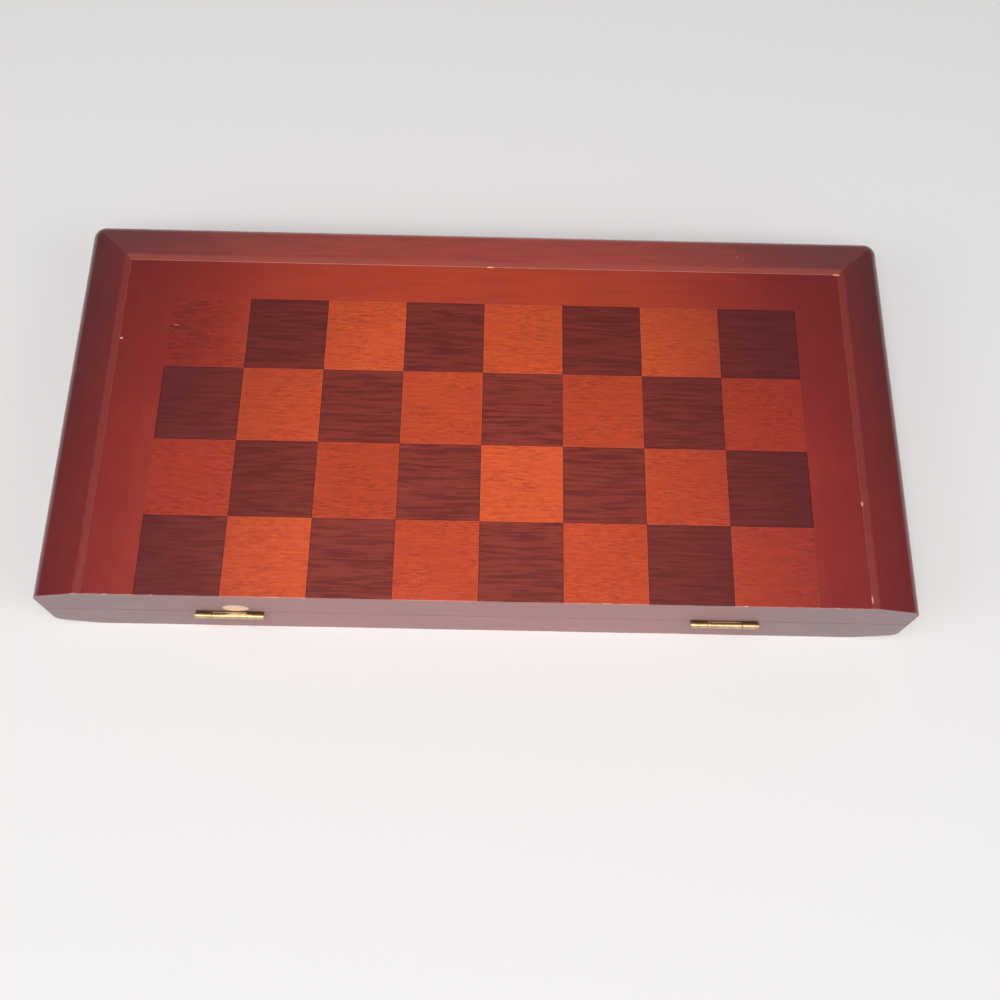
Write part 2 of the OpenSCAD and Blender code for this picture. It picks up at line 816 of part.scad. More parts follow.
module left_hinge_lower_leaf() { color(brass) translate([-hinge_x, 0, 0]) lower_leaf(); }
module left_hinge_upper_leaf() { color(brass) translate([-hinge_x, 0, 0]) upper_leaf(); }
module left_hinge_pin() { color(brass) translate([-hinge_x, 0, 0]) hinge_pin(); }
module right_hinge_lower_leaf() { color(brass) translate([hinge_x, 0, 0]) lower_leaf(); }
module right_hinge_upper_leaf() { color(brass) translate([hinge_x, 0, 0]) upper_leaf(); }
module right_hinge_pin() { color(brass) translate([hinge_x, 0, 0]) hinge_pin(); }
module lower_hinge_screws() { color(brass) tray_screws(); }
module upper_hinge_screws() { color(brass) as_lid() tray_screws(); }

module light_stones() { color(boxwood) stones(0); }
module dark_stones() { color(wood_dark) stones(stones_each); }

module light_king() { color(boxwood) one_king(0); }
module light_queen() { color(boxwood) one_queen(0); }
module light_bishops() { color(boxwood) bishops(0); }
module light_knights() { color(boxwood) knights(0); }
module light_rooks() { color(boxwood) rooks(0); }
module light_pawns() { color(boxwood) pawns(0); }
module dark_king() { color(wood_dark) one_king(1); }
module dark_queen() { color(wood_dark) one_queen(1); }
module dark_bishops() { color(wood_dark) bishops(1); }
module dark_knights() { color(wood_dark) knights(1); }
module dark_rooks() { color(wood_dark) rooks(1); }
module dark_pawns() { color(wood_dark) pawns(1); }

base_left_rail();
base_right_rail();
base_back_rail();
base_hinge_rail();
base_panel_core();
base_light_squares();
base_dark_squares();
base_border();
base_field();
base_light_points();
base_dark_points();
base_magnets();
lid_left_rail();
lid_right_rail();
lid_back_rail();
lid_hinge_rail();
lid_panel_core();
lid_light_squares();
lid_dark_squares();
lid_border();
lid_field();
lid_light_points();
lid_dark_points();
lid_magnets();
gold_seal();
left_hinge_lower_leaf();
left_hinge_upper_leaf();
left_hinge_pin();
right_hinge_lower_leaf();
right_hinge_upper_leaf();
right_hinge_pin();
lower_hinge_screws();
upper_hinge_screws();
light_stones();
dark_stones();
dice();
light_king();
light_queen();
light_bishops();
light_knights();
light_rooks();
light_pawns();
dark_king();
dark_queen();
dark_bishops();
dark_knights();
dark_rooks();
dark_pawns();
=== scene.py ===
"""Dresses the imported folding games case: varnished rails, chequers, brass hinges and men.

Everything is in metres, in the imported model's frame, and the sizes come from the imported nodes.
"""

import logging
import math
from dataclasses import dataclass
from enum import Enum
from functools import reduce
from typing import Iterable, Sequence, Union

import bmesh
import bpy
from mathutils import Matrix, Vector


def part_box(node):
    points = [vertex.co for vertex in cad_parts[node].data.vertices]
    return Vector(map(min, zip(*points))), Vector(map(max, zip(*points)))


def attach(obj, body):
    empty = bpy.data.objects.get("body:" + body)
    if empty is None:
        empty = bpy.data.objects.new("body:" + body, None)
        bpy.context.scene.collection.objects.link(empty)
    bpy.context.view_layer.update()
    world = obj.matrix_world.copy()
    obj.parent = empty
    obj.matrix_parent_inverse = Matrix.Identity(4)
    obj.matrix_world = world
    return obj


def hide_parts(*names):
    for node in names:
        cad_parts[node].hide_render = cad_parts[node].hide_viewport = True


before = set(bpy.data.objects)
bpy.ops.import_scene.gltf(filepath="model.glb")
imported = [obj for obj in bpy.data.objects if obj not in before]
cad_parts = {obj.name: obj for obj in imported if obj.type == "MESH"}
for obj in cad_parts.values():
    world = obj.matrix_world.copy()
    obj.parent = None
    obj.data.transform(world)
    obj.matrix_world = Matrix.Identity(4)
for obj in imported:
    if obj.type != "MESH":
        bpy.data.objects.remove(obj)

MM = 0.001
SHARP_ANGLE = math.radians(32)  # an edge over this is broken, and stays sharp in the shading
BROKEN_ANGLE = math.radians(40)  # the same for the shading of a mesh whose edges are broken
FLAT_ANGLE = math.radians(0.6)  # faces that meet at less than this are one flat face
MERGE = 2e-6  # corners nearer than this are one corner
TURNING_STEPS = 64
WHITE = (1.0, 1.0, 1.0, 1.0)
LOG = logging.getLogger("games_case")

Colour = tuple[int, int, int]
Place = tuple[float, float, float]
Profile = list[tuple[float, float]]
Socket = bpy.types.NodeSocket
Material = bpy.types.Material
Piece = bpy.types.Object
Solid = bmesh.types.BMesh
Value = Union[Socket, float, int, str, tuple]


def srgb(colour: Colour) -> tuple[float, float, float, float]:
    """Turns a colour in steps of 0 to 255 into the linear one that a shader takes.

    Args:
        colour: red, green and blue as they look on screen.

    Returns:
        Linear red, green and blue, and an alpha of 1.
    """

    def channel(step: int) -> float:
        """Linear value of one channel."""
        share = step / 255
        return share / 12.92 if share <= 0.04045 else ((share + 0.055) / 1.055) ** 2.4

    return (*(channel(step) for step in colour), 1.0)


class Tray(Enum):
    """The two trays of the case. The lid is the base turned upside down."""

    BASE = "base"
    LID = "lid"

    def node(self, part: str) -> str:
        """Name of this tray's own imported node."""
        return f"{self.value}_{part}"


class Grain(Enum):
    """Axis that the wood's fibres run along."""

    X = 0
    Y = 1


@dataclass(frozen=True)
class CaseSizes:
    """Sizes of the case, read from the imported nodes, and the few that no node's box gives."""

    half_w: float
    front: float
    back: float
    height: float
    inner_x: float
    inner_y: float
    tray_h: float
    veneer_t: float
    field_top: float
    field_t: float
    ledge_w: float
    board_half: float
    board_back: float
    well_front: float
    columns: int = 8
    rows: int = 4
    kerf: float = 0.06 * MM

    @classmethod
    def from_frame(cls) -> "CaseSizes":
        """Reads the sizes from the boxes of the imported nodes.

        Returns:
            The case's sizes in metres.
        """
        rail_low, rail_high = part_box("base_right_rail")
        back_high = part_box("base_back_rail")[1]
        lid_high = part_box("lid_right_rail")[1]
        core_low, core_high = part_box("base_panel_core")
        field_low, field_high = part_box("base_field")
        squares = [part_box(f"base_{tone}_squares")[1] for tone in ("light", "dark")]
        return cls(
            half_w=rail_high.x,
            front=rail_low.y,
            back=back_high.y,
            height=lid_high.z,
            inner_x=core_high.x,
            inner_y=core_high.y,
            tray_h=rail_high.z,
            veneer_t=core_low.z,
            field_top=field_high.z,
            field_t=field_high.z - field_low.z,
            ledge_w=core_high.x - rail_low.x,
            board_half=max(corner.x for corner in squares) + cls.kerf / 2,
            board_back=max(corner.y for corner in squares) + cls.kerf / 2,
            well_front=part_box("base_hinge_rail")[1].y,
        )

    @property
    def square(self) -> float:
        """Pitch of the chequers."""
        return 2 * self.board_half / self.columns

    @property
    def well_x(self) -> float:
        """Half of the well's width."""
        return self.inner_x - self.ledge_w

    @property
    def well_back(self) -> float:
        """Place of the well's back wall."""
        return self.inner_y - self.ledge_w

    @property
    def rail_w(self) -> float:
        """Width of a moulded rail outside the panel."""
        return self.half_w - self.inner_x

    def lift(self, tray: Tray, z: float) -> float:
        """Height in the closed case of a height measured from a tray's own outer face."""
        return z if tray is Tray.BASE else self.height - z


class Bench:
    """Short calls that add nodes to one node tree."""

    def __init__(self, tree: bpy.types.NodeTree) -> None:
        """Keeps a node tree and empties it."""
        self.tree = tree
        tree.nodes.clear()

    def add(self, kind: str, inputs: dict | None = None, **settings: object) -> bpy.types.Node:
        """Adds a node.

        Args:
            kind: the node's type.
            inputs: what goes into its sockets, by name or number.
            settings: the node's own properties.

        Returns:
            The new node.
        """
        node = self.tree.nodes.new(kind)
        for name, value in settings.items():
            setattr(node, name, value)
        for key, value in (inputs or {}).items():
            self.feed(node.inputs[key], value)
        return node

    def feed(self, socket: Socket, value: Value) -> None:
        """Links a socket to another one, or sets its own value.

        Args:
            socket: the input that is fed.
            value: another node's output, or a plain value.
        """
        if isinstance(value, Socket):
            self.tree.links.new(value, socket)
        else:
            socket.default_value = value

    def math(self, operation: str, a: Value, b: Value = 0.0) -> Socket:
        """One sum on numbers, by the sum's name."""
        return self.add("ShaderNodeMath", {0: a, 1: b}, operation=operation).outputs[0]

    def plus(self, *terms: Value) -> Socket:
        """Adds numbers up."""
        return reduce(lambda a, b: self.math("ADD", a, b), terms)

    def less(self, a: Value, b: Value) -> Socket:
        """Takes the second number from the first."""
        return self.math("SUBTRACT", a, b)

    def times(self, *factors: Value) -> Socket:
        """Multiplies numbers."""
        return reduce(lambda a, b: self.math("MULTIPLY", a, b), factors)

    def swing(self, value: Value, reach: Value) -> Socket:
        """Centres a noise of 0 to 1 on 0 and scales it."""
        return self.times(self.less(value, 0.5), reach)

    def vector(self, operation: str, a: Value, b: Value = (0.0, 0.0, 0.0)) -> Socket:
        """One sum on vectors or colours.

        Args:
            operation: name of the sum.
            a: first vector.
            b: second vector, or the factor of a scaling.

        Returns:
            The result's socket.
        """
        node = self.add("ShaderNodeVectorMath", {0: a}, operation=operation)
        self.feed(node.inputs["Scale"] if operation == "SCALE" else node.inputs[1], b)
        return node.outputs["Value"] if operation == "LENGTH" else node.outputs[0]

    def split(self, vector: Value) -> Sequence[Socket]:
        """Takes a vector apart."""
        return self.add("ShaderNodeSeparateXYZ", {0: vector}).outputs

    def join(self, x: Value, y: Value, z: Value) -> Socket:
        """Puts a vector together."""
        return self.add("ShaderNodeCombineXYZ", {0: x, 1: y, 2: z}).outputs[0]

    def ramp(self, value: Value, low: float, high: float, start: float = 0.0,
             end: float = 1.0) -> Socket:
        """Smooth step from start, where the value is low, to end, where it is high."""
        inputs = {0: value, 1: low, 2: high, 3: start, 4: end}
        return self.add("ShaderNodeMapRange", inputs, interpolation_type="SMOOTHSTEP").outputs[0]

    def band(self, value: Value, low: float, high: float, soft: float) -> Socket:
        """1 between two readings, falling to 0 over a soft width on either side."""
        return self.times(self.ramp(value, low - soft, low),
                          self.ramp(value, high, high + soft, 1.0, 0.0))

    def mix(self, factor: Value, a: Value, b: Value) -> Socket:
        """Blends two colours, by the share of the second."""
        return self.add("ShaderNodeMix", {0: factor, 6: a, 7: b}, data_type="RGBA").outputs[2]

    def seen_direct(self) -> Socket:
        """1 for the camera's rays and for mirrored ones."""
        rays = self.add("ShaderNodeLightPath").outputs
        return self.math("MAXIMUM", rays["Is Camera Ray"], rays["Is Glossy Ray"])

    def noise(self, vector: Value, scale: Place | float, detail: float = 2.0,
              rough: float = 0.5) -> Socket:
        """Noise of about 0 to 1, stretched by its own scale on each axis.

        Args:
            vector: where the noise is read.
            scale: waves in a metre, on each axis or the same on all.
            detail: finer layers.
            rough: strength of the finer layers.

        Returns:
            The noise's socket.
        """
        waves = scale if isinstance(scale, tuple) else (scale, scale, scale)
        stretched = self.vector("MULTIPLY", vector, waves)
        inputs = {"Vector": stretched, "Scale": 1.0, "Detail": detail, "Roughness": rough}
        return self.add("ShaderNodeTexNoise", inputs).outputs[0]


class Finish(Bench):
    """A material being built: its shader and the coordinates that its pattern reads."""

    def __init__(self, name: str) -> None:
        """Makes the material with one Principled shader.

        Args:
            name: the material's name.
        """
        self.material = bpy.data.materials.new(name)
        self.material.use_nodes = True
        super().__init__(self.material.node_tree)
        self.shader = self.add("ShaderNodeBsdfPrincipled")
        self.output = self.add("ShaderNodeOutputMaterial", {"Surface": self.shader.outputs[0]})
        self.xyz = self.add("ShaderNodeTexCoord").outputs["Object"]

    def put(self, **values: Value) -> None:
        """Sets the shader's sockets. An underscore in a name stands for a space."""
        for name, value in values.items():
            self.feed(self.shader.inputs[name.replace("_", " ")], value)

    def bump(self, height: Value, depth: float) -> None:
        """Gives the surface a relief of a depth in metres, from a height of 0 to 1."""
        node = self.add("ShaderNodeBump", {"Height": height, "Distance": depth})
        self.put(Normal=node.outputs[0])


@dataclass(frozen=True)
class Chip:
    """A spot where the varnish is knocked off, in metres on the plan of the case."""

    x: float
    y: float
    long: float
    wide: float
    strength: float = 1.0


@dataclass(frozen=True)
class Stain:
    """A soft patch where the stain lies thicker, in metres on the plan of the case."""

    x: float
    y: float
    reach: float
    strength: float


@dataclass(frozen=True)
class Spot:
    """The point that a finish reads, with the case's sizes to set it against."""

    sizes: CaseSizes
    coords: Value
    x: Value
    y: Value
    z: Value

    def plan(self, finish: Finish) -> Socket:
        """The point on the plan of the case."""
        return finish.join(self.x, self.y, 0.0)

    def outside(self, finish: Finish) -> Socket:
        """How far the point lies outside the panel."""
        aside = finish.less(finish.math("ABSOLUTE", self.x), self.sizes.inner_x)
        return finish.math("MAXIMUM", aside, finish.less(self.y, self.sizes.inner_y))

    def outer_face(self, finish: Finish, deep: float, shallow: float) -> Socket:
        """Mask of the outer faces of both trays.

        Args:
            finish: the material being built.
            deep: level below the outer face where the mask is 0.
            shallow: level down to which it is 1.

        Returns:
            The mask.
        """
        half = self.sizes.height / 2
        return finish.ramp(finish.math("ABSOLUTE", finish.less(self.z, half)),
                           half - deep, half - shallow)


@dataclass(frozen=True)
class VarnishedWood:
    """Stained wood under gloss varnish, warmer and brighter at the middle: partly faded stain,
    partly painted light.
    """

    name: str
    middle: Colour
    ends: Colour
    streak: Colour
    grain: Grain = Grain.X
    stain_and_light_middle_place: tuple[float, float] = (-5 * MM, -52 * MM)
    stain_and_light_middle_reach: tuple[float, float] = (160 * MM, 260 * MM)
    stain_and_light_middle_fade: tuple[float, float] = (0.5, 1.05)
    figure: float = 0.5
    figure_pitch: float = 2.6 * MM
    figure_long: float = 9.0
    wander: float = 3.0 * MM
    wander_waves: tuple[float, float] = (28.0, 60.0)
    fibre: float = 0.12
    fibre_waves: tuple[float, float] = (70.0, 1150.0)
    blotch: float = 0.15
    flecks: float = 0.0
    fleck_waves: tuple[float, float] = (230.0, 1200.0)
    dark_fleck: Place = (0.62, 0.48, 0.7)
    bright_fleck: Place = (1.2, 1.32, 1.3)
    tiled: bool = False
    tile_shift: float = 0.7
    toned: float = 0.0
    tone_gain: float = 0.05
    stains: tuple[Stain, ...] = ()
    # painted light: brighter at the front, darker at the back, as if lit from the front
    front_light_slant: float = 0.12
    varnish: float = 1.0
    rough: float = 0.32
    coat_rough: float = 0.2
    haze: float = 0.0
    seam: Place | None = None
    seam_run: tuple[float, float] = (0.12 * MM, 0.6 * MM)
    chips: tuple[Chip, ...] = ()
    raw: Colour = (226, 170, 146)
    lip: bool = False
    lip_colour: Colour = (146, 58, 48)
    lip_strip: Place = (0.9 * MM, 3.6 * MM, 1.5 * MM)
    line_colour: Colour = (176, 92, 76)
    line_strip: Place = (-0.1 * MM, 0.2 * MM, 0.15 * MM)
    outer_lacquer_and_shade: float = 0.0

    def stretch(self, along: float, across: float) -> Place:
        """Noise scale for this grain: waves in a metre along and across the fibres."""
        return tuple(along if axis == self.grain.value else across for axis in range(3))

    def build(self, sizes: CaseSizes) -> Material:
        """Makes the material.

        Args:
            sizes: the case, whose edges and lip take the wear.

        Returns:
            The finished material.
        """
        finish = Finish(self.name)
        coords = finish.xyz
        tone: Value = 0.0
        if self.tiled:
            tone = finish.add("ShaderNodeAttribute", attribute_name="tone").outputs["Fac"]
            shift = finish.times(tone, self.tile_shift)
            coords = finish.vector("ADD", coords, finish.join(shift, shift, shift))
        at = Spot(sizes, coords, *finish.split(finish.xyz))
        sway = [0.0, 0.0, 0.0]
        sway[(self.grain.value + 1) % 2] = self.wander
        bend = finish.noise(coords, self.stretch(*self.wander_waves), 1.0)
        wavy = finish.vector("ADD", coords, finish.vector("SCALE", tuple(sway), bend))
        pitch = 1 / self.figure_pitch
        figure = finish.noise(wavy, self.stretch(pitch / self.figure_long, pitch), 3.0, 0.6)
        fibre = finish.noise(wavy, self.stretch(*self.fibre_waves), 2.0, 0.6)
        blotch = finish.noise(coords, 24, 3.0)

        colour = self._stain(finish, at, tone, blotch)
        streaks = finish.ramp(figure, 0.44, 0.62, 0.0, self.figure)
        colour = finish.mix(streaks, colour, srgb(self.streak))
        if self.flecks:
            colour = self._fleck(finish, at, colour, wavy)
        pale = finish.ramp(figure, 0.28, 0.42, self.figure * 0.22, 0.0)
        level = finish.plus(finish.swing(fibre, 2 * self.fibre),
                            finish.swing(blotch, 2 * self.blotch), finish.plus(pale, 1.0))
        if self.tiled:
            level = finish.plus(level, finish.times(tone, self.tone_gain))
        # Painted light: brighter towards the front, darker towards the back, as if lit from the
        # front.
        level = finish.plus(level, finish.ramp(at.y, sizes.front, sizes.back, self.front_light_slant,
                                               -self.front_light_slant))
        # Partly a built-up shading lacquer, partly painted shade where the moulding turns away from
        # the light: darker outwards.
        if self.outer_lacquer_and_shade:
            shade = finish.ramp(at.outside(finish), 3 * MM, sizes.rail_w, 0.0, self.outer_lacquer_and_shade)
            level = finish.less(level, shade)
        colour = finish.vector("SCALE", colour, level)
        dust = finish.noise(coords, 180)
        gloss = finish.ramp(dust, 0.3, 0.75, self.rough - 0.02, self.rough + 0.03)
        # Lighter lip strip, and a bright arris line that is partly a painted highlight.
        if self.lip:
            colour, lightened_lip = self._lighten_lip_and_arris(finish, at, colour)
            gloss = finish.plus(gloss, finish.times(lightened_lip, 0.15))
        colour = self._wear_front(finish, at, colour)
        if self.seam:
            colour = self._seam(finish, at, colour)
        for chip in self.chips:
            colour = self._knock(finish, at, colour, chip)
        finish.put(Base_Color=colour, Roughness=gloss, Coat_Weight=self.varnish,
                   Coat_Roughness=self.coat_rough, IOR=1.5, Coat_IOR=1.5,
                   Sheen_Weight=self.haze, Sheen_Roughness=0.45)
        ripple = finish.noise(coords, 90, 1.0)
        finish.bump(finish.plus(finish.times(fibre, 0.1), finish.times(ripple, 0.9)), 0.05 * MM)
        return finish.material

    def _stain(self, finish: Finish, at: Spot, tone: Value, blotch: Value) -> Value:
        """Stains the bare wood, warmer and brighter at the middle: partly faded stain, partly
        painted light.

        Args:
            finish: the material being built.
            at: the point that is coloured.
            tone: the square's own tone, -1 to 1.
            blotch: noise that frays the edge of the warm, brighter middle.

        Returns:
            The stained colour.
        """
        # Partly faded stain, partly a painted pool of light: warmer and brighter towards the
        # middle.
        reach = [finish.math("DIVIDE", finish.less(part, place), long) for part, place, long
                 in zip((at.x, at.y), self.stain_and_light_middle_place, self.stain_and_light_middle_reach)]
        radius = finish.vector("LENGTH", finish.join(*reach, 0.0))
        middle_share = finish.ramp(finish.plus(radius, finish.swing(blotch, 0.4)), *self.stain_and_light_middle_fade, 1.0, 0.0)
        colour = finish.mix(middle_share, srgb(self.ends), srgb(self.middle))
        if self.toned:
            deep = finish.ramp(tone, -1.0, 1.0, self.toned, 0.0)
            colour = finish.mix(deep, colour, srgb(self.streak))
        for stain in self.stains:
            off = finish.vector("SUBTRACT", at.plan(finish), (stain.x, stain.y, 0.0))
            thick = finish.ramp(finish.vector("LENGTH", off), 0.2 * stain.reach, stain.reach,
                                stain.strength, 0.0)
            colour = finish.mix(thick, colour, srgb(self.ends))
        return colour

    def _fleck(self, finish: Finish, at: Spot, colour: Value, wavy: Value) -> Value:
        """Sets short dark and bright flecks in patches along the fibres.

        Args:
            finish: the material being built.
            at: the point that is coloured.
            colour: the wood's colour so far.
            wavy: coordinates that follow the fibres.

        Returns:
            The new colour.
        """
        fine = finish.noise(wavy, self.stretch(*self.fleck_waves), 2.0, 0.7)
        patch = finish.ramp(finish.noise(at.coords, 70), 0.35, 0.65, 0.25, self.flecks)
        dark, bright = finish.ramp(fine, 0.5, 0.62), finish.ramp(fine, 0.34, 0.44, 1.0, 0.0)
        for mask, factor in ((dark, self.dark_fleck), (bright, self.bright_fleck)):
            tint = finish.mix(finish.times(mask, patch), WHITE, (*factor, 1.0))
            colour = finish.vector("MULTIPLY", colour, tint)
        return colour

    def _seam(self, finish: Finish, at: Spot, colour: Value) -> Value:
        """Lets the stain run a little where two squares meet.

        Args:
            finish: the material being built.
            at: the point that is coloured.
            colour: the wood's colour so far.

        Returns:
            The new colour.
        """
        sizes = at.sizes
        nearest: Value = 1.0
        for value, edge in ((at.x, sizes.board_half), (at.y, sizes.board_back)):
            steps = finish.math("DIVIDE", finish.less(value, edge), sizes.square)
            part = finish.math("ABSOLUTE", finish.less(finish.math("FRACT", steps), 0.5))
            nearest = finish.math("MINIMUM", nearest, finish.less(0.5, part))
        line = finish.ramp(finish.times(nearest, sizes.square), *self.seam_run, 1.0, 0.0)
        return finish.vector("MULTIPLY", colour, finish.mix(line, WHITE, (*self.seam, 1.0)))

    def _lighten_lip_and_arris(self, finish: Finish, at: Spot, colour: Value) -> tuple[Value, Value]:
        """Lightens the moulding's lip, and paints a bright broken line on its inner arris that is
        partly worn varnish, partly a painted highlight.

        Args:
            finish: the material being built.
            at: the point that is coloured.
            colour: the wood's colour so far.

        Returns:
            The new colour and the mask of the lightened strip.
        """
        out, plan = at.outside(finish), at.plan(finish)
        face = at.outer_face(finish, 3 * MM, 2 * MM)
        ragged = finish.noise(plan, (150, 150, 1), 3.0, 0.6)
        edge = finish.plus(out, finish.times(ragged, 1.4 * MM))
        strip = finish.times(finish.band(edge, *self.lip_strip), face)
        colour = finish.mix(finish.times(strip, 0.55), colour, srgb(self.lip_colour))
        # Painted highlight, partly worn varnish: the bright line on the inner arris.
        thin = finish.band(out, *self.line_strip)
        broken = finish.ramp(finish.noise(plan, (210, 210, 1), 3.0, 0.7), 0.4, 0.6, 0.2, 0.8)
        line = finish.times(thin, broken, face)
        return finish.mix(line, colour, srgb(self.line_colour)), strip

    def _wear_front(self, finish: Finish, at: Spot, colour: Value) -> Value:
        """Chips the arris where the front wall meets an outer face.

        Args:
            finish: the material being built.
            at: the point that is coloured.
            colour: the wood's colour so far.

        Returns:
            The new colour.
        """
        front = at.sizes.front
        face = at.outer_face(finish, 0.9 * MM, 0.6 * MM)
        near = finish.ramp(at.y, front + 0.15 * MM, front + 0.5 * MM, 1.0, 0.0)
        broken = finish.ramp(finish.noise(at.coords, 160, 4.0, 0.7), 0.53, 0.66, 0.1, 0.75)
        return finish.mix(finish.times(face, near, broken), colour, srgb(self.raw))

    def _knock(self, finish: Finish, at: Spot, colour: Value, chip: Chip) -> Value:
        """Lays the raw wood of one chip bare.

        Args:
            finish: the material being built.
            at: the point that is coloured.
            colour: the wood's colour so far.
            chip: the chip's place and size.

        Returns:
            The new colour.
        """
        off = [finish.math("DIVIDE", finish.less(part, place), half) for part, place, half
               in ((at.x, chip.x, chip.long), (at.y, chip.y, chip.wide))]
        ragged = finish.noise(at.plan(finish), (1500, 1500, 1), 3.0, 0.6)
        edge = finish.plus(finish.vector("LENGTH", finish.join(*off, 0.0)), ragged)
        height = at.sizes.height
        top = finish.ramp(at.z, height - 4 * MM, height - 3 * MM, 0.0, chip.strength)
        spot = finish.times(finish.ramp(edge, 1.2, 1.5, 1.0, 0.0), top)
        return finish.mix(spot, colour, srgb(self.raw))


@dataclass(frozen=True)
class Metal:
    """A plain metal with fine rubbing marks, and a band of painted shade where it meets a wall."""

    name: str
    bright: Colour
    dull: Colour
    rough: float = 0.28
    relief: float = 0.02 * MM
    # painted shade in the crease where the metal meets a wall
    crease_shade: Colour = (70, 44, 30)
    crease_shade_at: float | None = None

    def build(self) -> Material:
        """Makes the material.

        Returns:
            The finished material.
        """
        finish = Finish(self.name)
        tarnish = finish.noise(finish.xyz, 350, 4.0, 0.6)
        rubbed = finish.noise(finish.xyz, (300, 5200, 5200), 2.0, 0.6)
        colour = finish.mix(finish.ramp(tarnish, 0.4, 0.75), srgb(self.bright), srgb(self.dull))
        gloss = finish.ramp(rubbed, 0.25, 0.8, self.rough - 0.08, self.rough + 0.14)
        # Painted shade: darker and duller where the hinge barrel meets the front wall.
        if self.crease_shade_at is not None:
            _, y, _ = finish.split(finish.xyz)
            shaded_crease = finish.band(y, self.crease_shade_at - 0.45 * MM, self.crease_shade_at + 0.3 * MM, 0.25 * MM)
            colour = finish.mix(finish.times(shaded_crease, 0.85), colour, srgb(self.crease_shade))
            gloss = finish.plus(gloss, finish.times(shaded_crease, 0.4))
        finish.put(Base_Color=colour, Roughness=gloss, Metallic=1.0)
        finish.bump(finish.plus(rubbed, tarnish), self.relief)
        return finish.material


@dataclass(frozen=True)
class TurnedWood:
    """Close-grained wood of the men and stones, with its growth lines along Y."""

    name: str
    light: Colour
    dark: Colour
    rough: float = 0.32

    def build(self) -> Material:
        """Makes the material.

        Returns:
            The finished material.
        """
        finish = Finish(self.name)
        lines = finish.noise(finish.xyz, (900.0, 45.0, 900.0), 3.0, 0.6)
        cloud = finish.noise(finish.xyz, 60)
        share = finish.plus(finish.times(lines, 0.7), finish.times(cloud, 0.3))
        colour = finish.mix(finish.ramp(share, 0.35, 0.7), srgb(self.light), srgb(self.dark))
        gloss = finish.ramp(cloud, 0.3, 0.7, self.rough - 0.05, self.rough + 0.08)
        finish.put(Base_Color=colour, Roughness=gloss, Coat_Weight=0.4, Coat_Roughness=0.2)
        finish.bump(lines, 0.03 * MM)
        return finish.material


@dataclass(frozen=True)
class Plywood:
    """Bare plies, seen only at an edge."""

    name: str
    light: Colour = (205, 170, 118)
    dark: Colour = (150, 108, 66)
    ply: float = 1.0 * MM

    def build(self) -> Material:
        """Makes the material.

        Returns:
            The finished material.
        """
        finish = Finish(self.name)
        _, _, z = finish.split(finish.xyz)
        turn = finish.math("SINE", finish.times(z, math.pi / self.ply))
        grain = finish.noise(finish.xyz, (60, 900, 400), 3.0, 0.6)
        share = finish.plus(finish.ramp(turn, -0.2, 0.2, 0.0, 0.5), finish.times(grain, 0.5))
        finish.put(Base_Color=finish.mix(share, srgb(self.light), srgb(self.dark)),
                   Roughness=finish.ramp(grain, 0.2, 0.8, 0.6, 0.8))
        finish.bump(grain, 0.05 * MM)
        return finish.material


@dataclass(frozen=True)
class Resin:
    """Cast resin of the dice and the paint in their pips."""

    name: str
    colour: Colour
    shade: Colour
    rough: float = 0.25

    def build(self) -> Material:
        """Makes the material.

        Returns:
            The finished material.
        """
        finish = Finish(self.name)
        cloud = finish.noise(finish.xyz, 180, 3.0)
        share = finish.ramp(cloud, 0.3, 0.8)
        finish.put(Base_Color=finish.mix(share, srgb(self.colour), srgb(self.shade)),
                   Roughness=finish.ramp(cloud, 0.3, 0.7, self.rough, self.rough + 0.1),
                   Subsurface_Weight=0.05)
        finish.bump(cloud, 0.01 * MM)
        return finish.material


